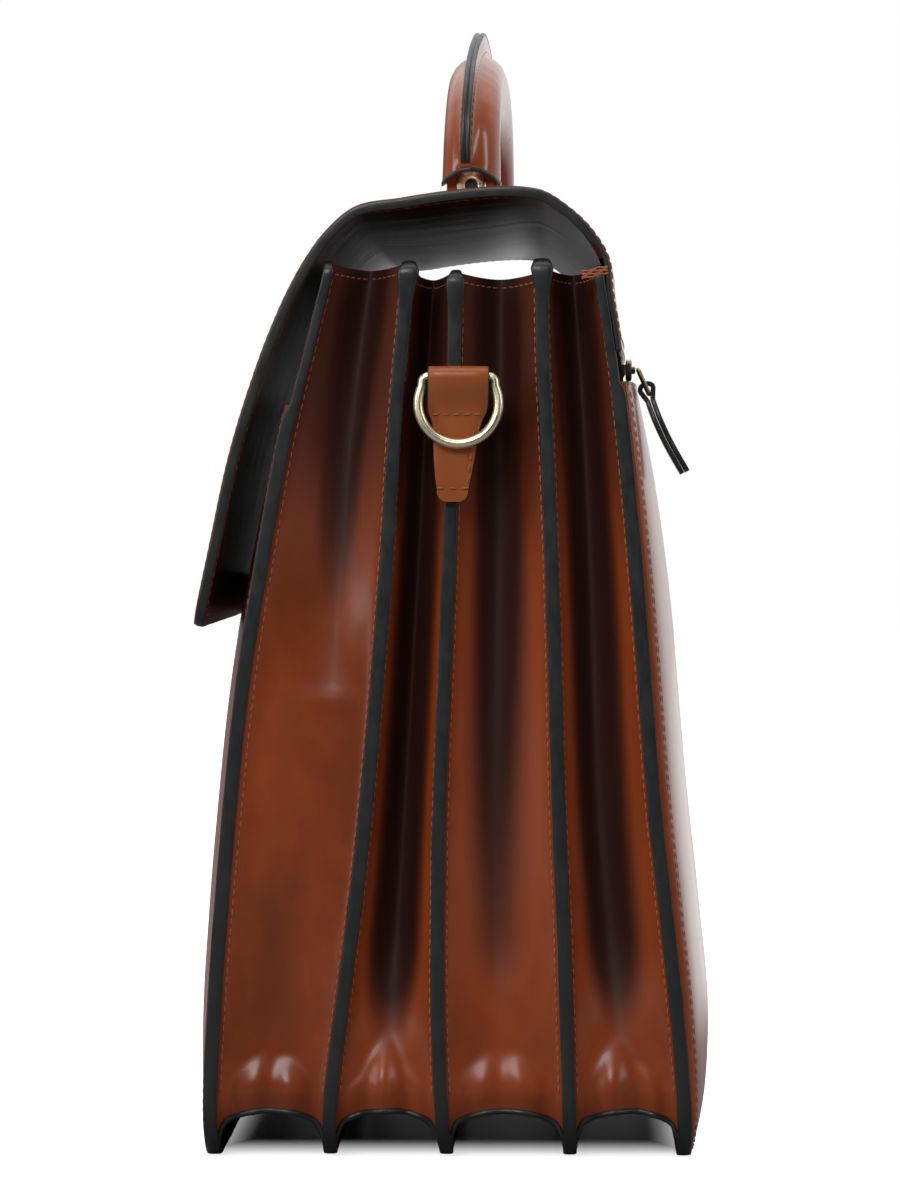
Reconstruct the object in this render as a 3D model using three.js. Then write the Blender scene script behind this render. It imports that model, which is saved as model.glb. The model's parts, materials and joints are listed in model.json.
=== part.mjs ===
// A leather school satchel standing by itself: five stiff walls, folded side gussets and arched bottom
// gussets between them, bulging front and back pockets, a lined flap, a padded handle with a fin, D-rings
// in leather tabs on the middle divider, a closed zip on the back and a plain clasp on the front.
// Millimetres. X runs along the width, -Y is the front with the flap, +Z is up, the floor is at 0.
import * as THREE from "three";
import { mergeVertices } from "three/addons/utils/BufferGeometryUtils.js";

// Body
const WIDTH = 410;
const HEIGHT = 311;
const BASE_DEPTH = 164;
const CORNER_RADIUS = 20;
const DIVIDER_LIFT = 1.5;

// Leather and gaps
const PANEL_WALL = 2;
const GUSSET_WALL = 1.1;
const POCKET_WALL = 1.3;
const FLAP_WALL = 1.9;
const LINING_WALL = 1.3;
const STRAP_WALL = 3.2;
const GAP = 0.3;

// Gussets
const SEAM_ALLOWANCE = 3;
const FOLD_HALF_WIDTH = 22;
const FOLD_ROUNDNESS = 1.35;
const NOSE_HEIGHT = 62;
const NOSE_BULGE = 2.4;
const NOSE_CURL = 4;
const CURL_HEIGHT = 12;
const GUSSET_DROP = 4;
const HEM_SAG = 2.4;
const BOTTOM_SEAM_HEIGHT = 3;
const BOTTOM_ARCH_RISE = 14.6;
const BOTTOM_ARCH_ROUNDNESS = 1.7;

// Pockets
const FRONT_POCKET_DROP = 49;
const FRONT_POCKET_BULGE = 11;
const BACK_POCKET_BULGE = 12.5;
const POCKET_BOTTOM_EDGE = 0.5;

// Flap
const FLAP_SAG = 3.5;
const FLAP_CORNER_RADIUS = 10;
const TAIL_LENGTH = 29;
const TAIL_RISE = 3;
const LINING_INSET = 0.6;

// Handle
const HANDLE_SPAN = 200;
const HANDLE_RISE = 40;
const HANDLE_LIFT = 17;
const HANDLE_OFFSET = 6;
const GRIP_WIDTH = 20;
const GRIP_THICKNESS = 18;
const GRIP_END_SWELL = 0.08;
const FIN_HEIGHT = 8.5;
const FIN_WALL = 3.7;
const HANDLE_SQUARENESS = 2.7;
const STRAP_WIDTH = 18;
const STRAP_FOOT_LENGTH = 28;
const STRAP_BEND_RADIUS = 1.2;
const EYELET_RADIUS = 5.2;
const EYELET_HOLE_RADIUS = 2.1;
const EYELET_WALL = 0.9;
const RIVET_RADIUS = 4.5;
const RIVET_HEIGHT = 1.6;

// D-rings and their tabs
const WIRE_RADIUS = 1.75;
const RING_BELLY = 1.4;
const RING_BAR_RISE = 9.3;
const RING_CORNER_RADIUS = 2;
const RING_DROP = 36.4;
const RING_TILT = 5;
const TAB_WALL = 1.6;
const TAB_LOOP_WIDTH = 20.6;
const TAB_WAIST_WIDTH = 16.8;
const TAB_TIP_WIDTH = 11.6;
const TAB_LENGTH = 43;
const TAB_OFFSET = 3;

// Zip
const ZIP_TAPE_WIDTH = 9;
const ZIP_TAIL_GAP = 1.2;
const ZIP_TAPE_WALL = 1.3;
const ZIP_SIDE_MARGIN = 22;
const ZIP_TEETH_WIDTH = 4.4;
const ZIP_TEETH_WALL = 1.2;
const SLIDER_LENGTH = 9;
const SLIDER_WIDTH = 7.5;
const SLIDER_HEIGHT = 3.4;
const SLIDER_INSET = 35;
const LINK_WIRE_RADIUS = 0.8;
const LINK_LENGTH = 9;
const LINK_WIDTH = 6;
const PULL_WIDTH = 11;
const PULL_LENGTH = 32;
const PULL_WALL = 3.4;
const PULL_LEAN = 24;

// Clasp
const CLASP_WIDTH = 34;
const CLASP_HEIGHT = 26;
const CLASP_PLATE = 2.4;

// The five walls from the floor up: height as a share of HEIGHT, the rest as shares of BASE_DEPTH.
const WALL_SECTIONS = [
  { height: 0, front: -0.5, divider_1: -0.252, divider_2: -0.004, divider_3: 0.258, back: 0.499 },
  { height: 0.05, front: -0.503, divider_1: -0.251, divider_2: -0.013, divider_3: 0.256, back: 0.499 },
  { height: 0.14, front: -0.497, divider_1: -0.232, divider_2: -0.021, divider_3: 0.251, back: 0.487 },
  { height: 0.26, front: -0.482, divider_1: -0.202, divider_2: -0.022, divider_3: 0.244, back: 0.463 },
  { height: 0.4, front: -0.459, divider_1: -0.172, divider_2: -0.018, divider_3: 0.233, back: 0.434 },
  { height: 0.54, front: -0.431, divider_1: -0.149, divider_2: -0.007, divider_3: 0.226, back: 0.413 },
  { height: 0.66, front: -0.394, divider_1: -0.13, divider_2: 0.002, divider_3: 0.219, back: 0.395 },
  { height: 0.78, front: -0.354, divider_1: -0.117, divider_2: 0.009, divider_3: 0.21, back: 0.374 },
  { height: 0.89, front: -0.304, divider_1: -0.101, divider_2: 0.013, divider_3: 0.2, back: 0.35 },
  { height: 1, front: -0.25, divider_1: -0.081, divider_2: 0.016, divider_3: 0.197, back: 0.316 },
];

// Each wall's top edge as a share of HEIGHT.
const WALLS = [
  { name: "front_panel", column: "front", top: 1 },
  { name: "divider_1", column: "divider_1", top: 1 },
  { name: "divider_2", column: "divider_2", top: 0.99 },
  { name: "divider_3", column: "divider_3", top: 1.003 },
  { name: "back_panel", column: "back", top: 0.995 },
];

// How far a pocket stands out from its edges: height as a share of the pocket's, bulge of its largest.
const POCKET_SECTIONS = [
  { height: 0, bulge: 0 },
  { height: 0.05, bulge: 0.5 },
  { height: 0.13, bulge: 0.86 },
  { height: 0.3, bulge: 1 },
  { height: 0.5, bulge: 1 },
  { height: 0.75, bulge: 0.92 },
  { height: 0.9, bulge: 0.72 },
  { height: 1, bulge: 0.5 },
];

// The flap's outer face from its lower edge to its rear bend: depth as a share of BASE_DEPTH, height of
// HEIGHT, and how much of the middle sag that place takes.
const FLAP_SECTIONS = [
  { depth: -0.54, height: 0.597, sag: 0 },
  { depth: -0.507, height: 0.679, sag: 0 },
  { depth: -0.457, height: 0.798, sag: 0 },
  { depth: -0.419, height: 0.863, sag: 0 },
  { depth: -0.376, height: 0.925, sag: 0 },
  { depth: -0.33, height: 0.978, sag: 0 },
  { depth: -0.302, height: 1.004, sag: 0.05 },
  { depth: -0.257, height: 1.036, sag: 0.15 },
  { depth: -0.201, height: 1.061, sag: 0.3 },
  { depth: -0.098, height: 1.072, sag: 0.8 },
  { depth: 0.004, height: 1.08, sag: 1 },
  { depth: 0.09, height: 1.084, sag: 0.9 },
  { depth: 0.157, height: 1.084, sag: 0.45 },
  { depth: 0.198, height: 1.08, sag: 0.2 },
  { depth: 0.248, height: 1.064, sag: 0.08 },
  { depth: 0.302, height: 1.037, sag: 0 },
];

const leather = { color: 0x7a3d1c, roughness: 0.32, metalness: 0 };
const pocketLeather = { color: 0x8a4a24, roughness: 0.3, metalness: 0 };
const liningLeather = { color: 0x15161a, roughness: 0.2, metalness: 0 };
const brass = { color: 0xc9b27a, roughness: 0.25, metalness: 1 };
const darkBrass = { color: 0x8c7a52, roughness: 0.4, metalness: 1 };
const tapeFabric = { color: 0x241712, roughness: 0.9, metalness: 0 };

const FRONT_POCKET_HEIGHT = HEIGHT - FRONT_POCKET_DROP;
const TAIL_END = WALLS[WALLS.length - 1].top * HEIGHT - TAIL_LENGTH;
const ZIP_HEIGHT = TAIL_END - ZIP_TAIL_GAP - ZIP_TAPE_WIDTH / 2;
const BACK_POCKET_HEIGHT = ZIP_HEIGHT - ZIP_TAPE_WIDTH / 2 - GAP;
const SLIDER_PLACE = WIDTH / 2 - SLIDER_INSET;
const RING_BAR_HEIGHT = WALLS[2].top * HEIGHT - RING_DROP;

const satchel = new THREE.Group();

function addPiece(name, geometry, look) {
  const mesh = new THREE.Mesh(geometry, new THREE.MeshStandardMaterial(look));
  mesh.name = name;
  satchel.add(mesh);
  return mesh;
}

function steps(count) {
  return Array.from({ length: count + 1 }, (_, i) => i / count);
}

// A smooth curve through one column of a table, read at any height share.
function column(table, key, name) {
  const curve = new THREE.CubicInterpolant(
    table.map((row) => row[key]),
    table.map((row) => row[name]),
    1,
  );
  return (at) => curve.evaluate(at)[0];
}

// A closed body from its points and triangles, turned so that its faces point out.
function bodyFrom(points, triangles) {
  let volume = 0;
  for (const [a, b, c] of triangles) {
    volume += points[a].dot(new THREE.Vector3().crossVectors(points[b], points[c]));
  }
  const index = triangles.flatMap(([a, b, c]) => (volume < 0 ? [a, c, b] : [a, b, c]));
  const geometry = new THREE.BufferGeometry();
  geometry.setAttribute("position", new THREE.Float32BufferAttribute(points.flatMap((p) => p.toArray()), 3));
  geometry.setIndex(index);
  geometry.computeVertexNormals();
  return geometry;
}

// A closed sheet between two faces, each given as a point for every (across, along).
function sheet(across, along, face, back) {
  const rows = along.length;
  const count = across.length * rows;
  const points = [face, back].flatMap((side) => across.flatMap((u) => along.map((v) => side(u, v))));
  const triangles = [];
  const quad = (a, b, c, d) => triangles.push([a, b, c], [a, c, d]);
  const at = (i, j) => i * rows + j;
  for (let i = 0; i + 1 < across.length; i++) {
    for (let j = 0; j + 1 < rows; j++) {
      quad(at(i, j), at(i + 1, j), at(i + 1, j + 1), at(i, j + 1));
      quad(count + at(i, j), count + at(i, j + 1), count + at(i + 1, j + 1), count + at(i + 1, j));
    }
  }
  const rim = [];
  for (let i = 0; i + 1 < across.length; i++) rim.push(at(i, 0));
  for (let j = 0; j + 1 < rows; j++) rim.push(at(across.length - 1, j));
  for (let i = across.length - 1; i > 0; i--) rim.push(at(i, rows - 1));
  for (let j = rows - 1; j > 0; j--) rim.push(at(0, j));
  rim.forEach((a, k) => {
    const b = rim[(k + 1) % rim.length];
    quad(b, a, count + a, count + b);
  });
  return bodyFrom(points, triangles);
}

// A closed body lofted through rings of equally many points, with flat ends or joined into a loop.
function loft(rings, looped = false) {
  const sides = rings[0].length;
  const points = rings.flat();
  const triangles = [];
  const last = looped ? rings.length : rings.length - 1;
  for (let i = 0; i < last; i++) {
    for (let j = 0; j < sides; j++) {
      const a = i * sides + j;
      const b = i * sides + ((j + 1) % sides);
      const c = ((i + 1) % rings.length) * sides + ((j + 1) % sides);
      const d = ((i + 1) % rings.length) * sides + j;
      triangles.push([a, b, c], [a, c, d]);
    }
  }
  if (!looped) {
    for (const [start, turn] of [[0, 1], [(rings.length - 1) * sides, 0]]) {
      const centre = new THREE.Vector3();
      for (let j = 0; j < sides; j++) centre.addScaledVector(points[start + j], 1 / sides);
      points.push(centre);
      for (let j = 0; j < sides; j++) {
        const pair = [start + j, start + ((j + 1) % sides)];
        triangles.push([points.length - 1, pair[turn], pair[1 - turn]]);
      }
    }
  }
  return bodyFrom(points, triangles);
}

// A rounded arch: 1 in the middle, 0 at either side, squarer as roundness grows.
function arch(side, roundness) {
  return (1 - Math.abs(side) ** roundness) ** (1 / roundness);
}

function smooth(x) {
  const t = Math.min(Math.max(x, 0), 1);
  return t * t * (3 - 2 * t);
}

// The width line that every wall and gusset ends on, drawn in round the lower corners.
function halfWidth(height) {
  const below = Math.max(CORNER_RADIUS - height, 0);
  return WIDTH / 2 - CORNER_RADIUS + Math.sqrt(CORNER_RADIUS ** 2 - below ** 2);
}

// The heights at which every wall is read: close together round the lower corners, then evenly to the top.
const TALLEST = HEIGHT * Math.max(...WALLS.map(({ top }) => top));
const LEVELS = [
  ...[0, 0.35, 0.7].map((t) => CORNER_RADIUS * (1 - Math.cos((t * Math.PI) / 2))),
  ...steps(9).map((t) => CORNER_RADIUS + (TALLEST - CORNER_RADIUS) * t),
];

// The levels between two heights, with those heights themselves.
function levelsBetween(bottom, top) {
  return [bottom, ...LEVELS.filter((level) => level > bottom + GAP && level < top - GAP), top];
}

// Each wall's middle, straight between the levels so that what lies against it keeps its gap.
const wallCentre = Object.fromEntries(
  WALLS.map(({ column: name }) => {
    const share = column(WALL_SECTIONS, "height", name);
    const line = new THREE.LinearInterpolant(LEVELS, LEVELS.map((level) => BASE_DEPTH * share(level / HEIGHT)), 1);
    return [name, (height) => line.evaluate(height)[0]];
  }),
);

function backFace(height) {
  return wallCentre.back(height) + PANEL_WALL / 2;
}

function frontFace(height) {
  return wallCentre.front(height) - PANEL_WALL / 2;
}

function makeWall({ name, column: key, top }, index) {
  const inner = index > 0 && index < WALLS.length - 1;
  const heights = levelsBetween(inner ? DIVIDER_LIFT : 0, top * HEIGHT);
  const side = (offset) => (u, v) => new THREE.Vector3(u * halfWidth(v), wallCentre[key](v) + offset, v);
  addPiece(name, sheet([-1, 1], heights, side(-PANEL_WALL / 2), side(PANEL_WALL / 2)), leather);
}

// The arched leather that closes a compartment below, read across from -1 to 1.
function bottomArch(side) {
  return BOTTOM_SEAM_HEIGHT + BOTTOM_ARCH_RISE * arch(side, BOTTOM_ARCH_ROUNDNESS);
}

// The space between two neighbouring walls, less the leather that lies against them.
function compartment(index) {
  const left = wallCentre[WALLS[index].column];
  const right = wallCentre[WALLS[index + 1].column];
  const clear = PANEL_WALL / 2 + GAP + GUSSET_WALL / 2;
  const top = Math.min(WALLS[index].top, WALLS[index + 1].top) * HEIGHT - GUSSET_DROP;
  return {
    top,
    middle: (height) => (left(height) + right(height)) / 2,
    half: (height) => (right(height) - left(height)) / 2 - clear,
  };
}

// The gusset's middle line across a compartment at one height: out to the edge at either side, folded in
// between. The leather is as wide everywhere, so it folds deeper where its walls come closer.
function gussetLine(space, height, floor) {
  const half = space.half(height);
  const middle = space.middle(height);
  const rise = smooth((height - floor) / NOSE_HEIGHT);
  const fold = Math.sqrt(Math.max(FOLD_HALF_WIDTH ** 2 - half ** 2, GUSSET_WALL ** 2)) * rise;
  const curl = NOSE_CURL * (1 - smooth((height - floor) / CURL_HEIGHT));
  const edge = halfWidth(height);
  return (across) => {
    const side = Math.min(Math.abs(across), 1);
    const lobe = NOSE_BULGE * (1 - rise) * Math.sin(Math.PI * side ** 0.8) ** 2;
    const inward = SEAM_ALLOWANCE + fold * arch(side, FOLD_ROUNDNESS) + curl * arch(side, 2) - lobe;
    return new THREE.Vector2(edge - inward, middle + across * half);
  };
}

const GUSSET_ACROSS = [-1.001, -1, -0.8, -0.45, 0, 0.45, 0.8, 1, 1.001];

function makeSideGusset(index, hand, name) {
  const space = compartment(index);
  const heightAt = (across, v) => {
    const floor = bottomArch(Math.min(Math.abs(across), 1)) - GUSSET_WALL / 2;
    const sag = HEM_SAG * (1 - across ** 2);
    return floor + (space.top - sag - floor) * v;
  };
  const lineAt = (across, v) => {
    const height = heightAt(across, v);
    const line = gussetLine(space, height, bottomArch(0));
    const point = line(across);
    if (Math.abs(across) > 1) {
      point.x = halfWidth(height);
      point.y = space.middle(height) + Math.sign(across) * space.half(height);
    }
    return { point, height, line };
  };
  const face = (sign) => (u, v) => {
    const { point, height, line } = lineAt(u, v);
    const outward = new THREE.Vector2(0, -Math.sign(u));
    if (Math.abs(u) < 0.95) {
      const reach = 0.02;
      const along = line(u + reach).sub(line(u - reach));
      outward.set(along.y, -along.x).normalize();
    }
    point.addScaledVector(outward, (sign * GUSSET_WALL) / 2);
    return new THREE.Vector3(hand * point.x, point.y, height);
  };
  const seam = bottomArch(1) - GUSSET_WALL / 2;
  const levels = levelsBetween(seam, space.top).map((height) => (height - seam) / (space.top - seam));
  addPiece(name, sheet(GUSSET_ACROSS, levels, face(1), face(-1)), leather);
}

function makeBottomGusset(index) {
  const space = compartment(index);
  const across = [-1, -0.94, -0.75, -0.4, 0, 0.4, 0.75, 0.94, 1];
  const face = (sign) => (u, v) => {
    const height = bottomArch(v);
    const reach = 0.03;
    const slope = (bottomArch(Math.min(v + reach, 1)) - bottomArch(Math.max(v - reach, -1))) / 2 / reach;
    const normal = new THREE.Vector2(-slope, space.half(height)).normalize();
    if (Math.abs(v) === 1) normal.set(Math.sign(v), 0);
    const end = halfWidth(height) - SEAM_ALLOWANCE - NOSE_CURL - GUSSET_WALL / 2 - GAP;
    return new THREE.Vector3(
      u * end,
      space.middle(height) + v * space.half(height) + (sign * normal.x * GUSSET_WALL) / 2,
      height + (sign * normal.y * GUSSET_WALL) / 2,
    );
  };
  addPiece(`bottom_gusset_${index + 1}`, sheet([-1, 1], across, face(1), face(-1)), leather);
}

const pocketShare = column(POCKET_SECTIONS, "height", "bulge");

// A pocket's inner face: flat on the wall at its side and lower edges, standing out between them.
function pocketFace(height, tall, bulge, across) {
  const middle = arch(across, 2.3) ** 0.9;
  return GAP + bulge * pocketShare(height / tall) * middle;
}

function makePocket(name, tall, bulge, wallFace, outward) {
  const heights = levelsBetween(POCKET_BOTTOM_EDGE, tall);
  const across = [-1, -0.93, -0.75, -0.45, 0, 0.45, 0.75, 0.93, 1];
  const side = (extra) => (u, v) => {
    const stand = pocketFace(v, tall, bulge, u) + extra;
    return new THREE.Vector3(u * halfWidth(v), wallFace(v) + outward * stand, v);
  };
  addPiece(name, sheet(across, heights, side(0), side(POCKET_WALL)), pocketLeather);
}

// The flap's outer line from its front lower edge, over the top and down the back to its tail's end.
function flapLine() {
  const top = WALLS[WALLS.length - 1].top * HEIGHT;
  const line = FLAP_SECTIONS.map(({ depth, height, sag }) => ({
    point: new THREE.Vector2(depth * BASE_DEPTH, height * HEIGHT),
    sag,
  }));
  for (const height of [top + TAIL_RISE, top - TAIL_LENGTH * 0.3, top - TAIL_LENGTH * 0.65, top - TAIL_LENGTH]) {
    line.push({ point: new THREE.Vector2(backFace(height) + GAP + FLAP_WALL, height), sag: 0 });
  }
  return line;
}

const FLAP_LINE = flapLine();

// The direction out of the flap at one of its line's points.
function flapOutward(index) {
  const before = FLAP_LINE[Math.max(index - 1, 0)].point;
  const after = FLAP_LINE[Math.min(index + 1, FLAP_LINE.length - 1)].point;
  const along = after.clone().sub(before).normalize();
  return new THREE.Vector2(-along.y, along.x);
}

function flapSag(across) {
  return FLAP_SAG * (1 - across ** 4);
}

// One of the flap's two layers, from outer to outer + wall below the outer line, up to its last point.
function makeFlapLayer(name, outer, wall, inset, count, look) {
  const across = [-1, -0.97, -0.75, -0.4, 0, 0.4, 0.75, 0.97, 1];
  const along = FLAP_LINE.slice(0, count).map((_, i) => i);
  const layer = (depth) => (u, i) => {
    const { point, sag } = FLAP_LINE[i];
    const normal = flapOutward(i);
    const corner = i === 0 ? FLAP_CORNER_RADIUS * smooth((Math.abs(u) - 0.95) / 0.05) * 0.5 : 0;
    const next = FLAP_LINE[Math.min(i + 1, FLAP_LINE.length - 1)].point.clone().sub(point).normalize();
    const place = point.clone().addScaledVector(normal, -depth).addScaledVector(next, corner);
    if (i === 0) place.addScaledVector(next, inset);
    return new THREE.Vector3(u * (WIDTH / 2 - inset), place.x, place.y - sag * flapSag(u));
  };
  addPiece(name, sheet(across, along, layer(outer), layer(outer + wall)), look);
}

// The height of the flap's upper face at a point of its top.
function flapTop(x, y) {
  const after = FLAP_LINE.findIndex(({ point }) => point.x > y);
  const low = FLAP_LINE[after - 1];
  const high = FLAP_LINE[after];
  const t = (y - low.point.x) / (high.point.x - low.point.x);
  const sag = THREE.MathUtils.lerp(low.sag, high.sag, t);
  return THREE.MathUtils.lerp(low.point.y, high.point.y, t) - sag * flapSag(x / (WIDTH / 2));
}

const HANDLE_BASE_HEIGHT = flapTop(HANDLE_SPAN / 2, HANDLE_OFFSET) + HANDLE_LIFT;

// The handle's middle line in its own plane, from the right end over the top to the left end.
function handlePoint(t) {
  const angle = Math.PI * t;
  const power = 2 / HANDLE_SQUARENESS;
  return new THREE.Vector2(
    (HANDLE_SPAN / 2) * Math.sign(Math.cos(angle)) * Math.abs(Math.cos(angle)) ** power,
    HANDLE_BASE_HEIGHT + HANDLE_RISE * Math.sin(angle) ** power,
  );
}

function handleNormal(t) {
  if (t <= 0) return new THREE.Vector2(1, 0);
  if (t >= 1) return new THREE.Vector2(-1, 0);
  const along = handlePoint(t + 0.01).sub(handlePoint(t - 0.01)).normalize();
  return new THREE.Vector2(along.y, -along.x);
}

// A round padded section with the two sewn edges standing off its outer side as a fin.
function makeGrip() {
  const rounds = [0.14, 0.2, 0.28, 0.36, 0.44, 0.5, 0.56, 0.64, 0.72, 0.8, 0.86];
  const places = [0, 0.05, 0.12, 0.19, 0.25, 0.31, 0.38, 0.44, 0.5, 0.56, 0.62, 0.69, 0.75, 0.81, 0.88, 0.95, 1];
  const rings = places.map((t) => {
    const centre = handlePoint(t);
    const out = handleNormal(t);
    const ends = Math.abs(2 * t - 1);
    const swell = 1 + GRIP_END_SWELL * ends ** 6;
    const fin = FIN_HEIGHT * (1 - ends ** 3) + FIN_WALL / 4;
    const root = GRIP_THICKNESS / 2;
    const finOutline = [[root, -FIN_WALL / 2], [root + fin, -FIN_WALL / 2], [root + fin, FIN_WALL / 2], [root, FIN_WALL / 2]];
    const body = rounds.map((share) => [
      (Math.cos(share * 2 * Math.PI) * GRIP_THICKNESS * swell) / 2,
      (Math.sin(share * 2 * Math.PI) * GRIP_WIDTH * swell) / 2,
    ]);
    return [...finOutline, ...body].map(
      ([up, side]) => new THREE.Vector3(centre.x + out.x * up, HANDLE_OFFSET + side, centre.y + out.y * up),
    );
  });
  addPiece("handle_grip", loft(rings), leather);
}

// A strap end: down out of the grip, round a bend and out along the flap's top.
function strapLine() {
  const footTop = (x) => flapTop(x, HANDLE_OFFSET) + GAP + STRAP_WALL / 2;
  const start = HANDLE_SPAN / 2;
  const bend = STRAP_BEND_RADIUS + STRAP_WALL / 2;
  const base = footTop(start + bend);
  const line = [new THREE.Vector2(start, HANDLE_BASE_HEIGHT - GAP)];
  for (const t of steps(4)) {
    const angle = (t * Math.PI) / 2;
    line.push(new THREE.Vector2(start + bend * (1 - Math.cos(angle)), base + bend * (1 - Math.sin(angle))));
  }
  for (const t of [0.5, 1]) {
    const x = start + bend + (STRAP_FOOT_LENGTH - bend) * t;
    line.push(new THREE.Vector2(x, footTop(x)));
  }
  return line;
}

function makeStrap(hand, side) {
  const line = strapLine();
  const normalAt = (i) => {
    if (i === 0) return new THREE.Vector2(1, 0);
    const along = line[Math.min(i + 1, line.length - 1)].clone().sub(line[i - 1]).normalize();
    return new THREE.Vector2(-along.y, along.x);
  };
  const face = (sign) => (across, i) => {
    const normal = normalAt(i);
    const y = HANDLE_OFFSET + (across * STRAP_WIDTH) / 2;
    const onFoot = i / (line.length - 1) > 0.3 ? flapTop(line[i].x, y) - flapTop(line[i].x, HANDLE_OFFSET) : 0;
    const x = line[i].x + (sign * normal.x * STRAP_WALL) / 2;
    return new THREE.Vector3(hand * x, y, line[i].y + onFoot + (sign * normal.y * STRAP_WALL) / 2);
  };
  const along = line.map((_, i) => i);
  addPiece(`handle_strap_${side}`, sheet([-1, 0, 1], along, face(1), face(-1)), leather);
}

// A flat ring with its axis along X, standing on a strap end's outer face.
function makeEyelet(hand, side) {
  const profile = [[EYELET_HOLE_RADIUS, 0], [EYELET_RADIUS, 0], [EYELET_RADIUS, EYELET_WALL * 0.5],
    [(EYELET_RADIUS + EYELET_HOLE_RADIUS) / 2, EYELET_WALL], [EYELET_HOLE_RADIUS, EYELET_WALL * 0.6]];
  const sides = 12;
  const foot = HANDLE_SPAN / 2 + STRAP_WALL / 2 + GAP;
  const [top, bendTop] = strapLine();
  const height = (top.y + bendTop.y) / 2;
  const rings = steps(sides).slice(1).map((t) => {
    const angle = t * 2 * Math.PI;
    return profile.map(([radius, out]) => new THREE.Vector3(
      hand * (foot + out),
      HANDLE_OFFSET + radius * Math.cos(angle),
      height + radius * Math.sin(angle),
    ));
  });
  addPiece(`handle_eyelet_${side}`, loft(rings, true), brass);
}

function makeRivet(hand, side) {
  const x = HANDLE_SPAN / 2 + STRAP_FOOT_LENGTH * 0.66;
  const seat = flapTop(x, HANDLE_OFFSET) + STRAP_WALL + 3 * GAP;
  const head = new THREE.LatheGeometry(
    [new THREE.Vector2(0, 0), new THREE.Vector2(RIVET_RADIUS, 0), new THREE.Vector2(RIVET_RADIUS, RIVET_HEIGHT / 3),
      new THREE.Vector2(RIVET_RADIUS * 0.6, RIVET_HEIGHT), new THREE.Vector2(0, RIVET_HEIGHT)],
    14,
  );
  head.rotateX(Math.PI / 2);
  const rivet = addPiece(`handle_rivet_${side}`, cleaned(head), brass);
  rivet.position.set(hand * x, HANDLE_OFFSET, seat);
}

// The same geometry with its seams and poles closed.
function cleaned(geometry) {
  const bare = geometry.clone();
  bare.deleteAttribute("normal");
  bare.deleteAttribute("uv");
  const merged = mergeVertices(bare, 1e-4);
  const index = merged.getIndex().array;
  const position = merged.getAttribute("position");
  const points = Array.from({ length: position.count }, (_, i) => new THREE.Vector3().fromBufferAttribute(position, i));
  const triangles = [];
  for (let i = 0; i < index.length; i += 3) {
    const [a, b, c] = index.slice(i, i + 3);
    if (a !== b && b !== c && a !== c) triangles.push([a, b, c]);
  }
  return bodyFrom(points, triangles);
}

// The loop's middle: where the D-ring's straight bar runs through the tab.
const RING_SEAT = WIDTH / 2 + GAP + TAB_WALL + GAP + WIRE_RADIUS;

function tabMiddle() {
  return wallCentre.divider_2(RING_BAR_HEIGHT) + TAB_OFFSET;
}

// The tab's outline downwards from the bar: height under it as a share of TAB_LENGTH, width in mm.
const TAB_SECTIONS = [
  { down: 0.12, width: TAB_LOOP_WIDTH },
  { down: 0.4, width: TAB_WAIST_WIDTH },
  { down: 0.65, width: TAB_WAIST_WIDTH * 0.93 },
  { down: 0.93, width: TAB_TIP_WIDTH },
  { down: 1, width: TAB_TIP_WIDTH * 0.7 },
];

// A strap folded over the bar: both layers lie on each other below and are sewn to the divider's edge.
function makeTab(hand, side) {
  const loop = WIRE_RADIUS + GAP;
  const back = WIDTH / 2 + GAP;
  const middle = tabMiddle();
  const outside = [];
  for (const { down, width } of TAB_SECTIONS) {
    const spread = Math.max(RING_SEAT + loop + TAB_WALL - (down / 0.3) * loop * 2, back + 2 * TAB_WALL);
    outside.unshift({ x: down < 0.3 ? spread : back + 2 * TAB_WALL, z: RING_BAR_HEIGHT - down * TAB_LENGTH, width });
  }
  const turns = steps(6);
  const round = turns.map((t) => {
    const angle = t * Math.PI;
    const radius = loop + TAB_WALL;
    return { x: RING_SEAT + radius * Math.cos(angle), z: RING_BAR_HEIGHT + radius * Math.sin(angle), width: TAB_LOOP_WIDTH };
  });
  const inner = turns.map((t) => {
    const angle = (1 - t) * Math.PI;
    return { x: RING_SEAT + loop * Math.cos(angle), z: RING_BAR_HEIGHT + loop * Math.sin(angle), width: TAB_LOOP_WIDTH };
  });
  const crotch = { x: back + TAB_WALL, z: RING_BAR_HEIGHT - 0.28 * TAB_LENGTH, width: TAB_LOOP_WIDTH };
  const lowerBack = TAB_SECTIONS.map(({ down, width }) => ({ x: back, z: RING_BAR_HEIGHT - down * TAB_LENGTH, width }));
  const outline = [...outside, ...round, ...lowerBack];
  const hole = [...inner, crotch];
  addPiece(`d_ring_tab_${side}`, piercedSlab(outline, hole, (point, across) => new THREE.Vector3(
    hand * point.x,
    middle + (across * point.width) / 2,
    point.z,
  )), leather);
}

// A slab with one hole through it: both outlines are read on each side and joined by walls.
function piercedSlab(outline, hole, place) {
  const flat = (list) => list.map(({ x, z }) => new THREE.Vector2(x, z));
  const outer = THREE.ShapeUtils.isClockWise(flat(outline)) ? [...outline].reverse() : outline;
  const inner = THREE.ShapeUtils.isClockWise(flat(hole)) ? hole : [...hole].reverse();
  const all = [...outer, ...inner];
  const faces = THREE.ShapeUtils.triangulateShape(flat(outer), [flat(inner)]);
  const count = all.length;
  const points = [...all.map((point) => place(point, -1)), ...all.map((point) => place(point, 1))];
  const triangles = faces.flatMap(([a, b, c]) => [[a, b, c], [count + a, count + c, count + b]]);
  for (const [start, size] of [[0, outer.length], [outer.length, inner.length]]) {
    for (let i = 0; i < size; i++) {
      const a = start + i;
      const b = start + ((i + 1) % size);
      triangles.push([b, a, count + a], [b, count + a, count + b]);
    }
  }
  return bodyFrom(points, triangles);
}

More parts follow.
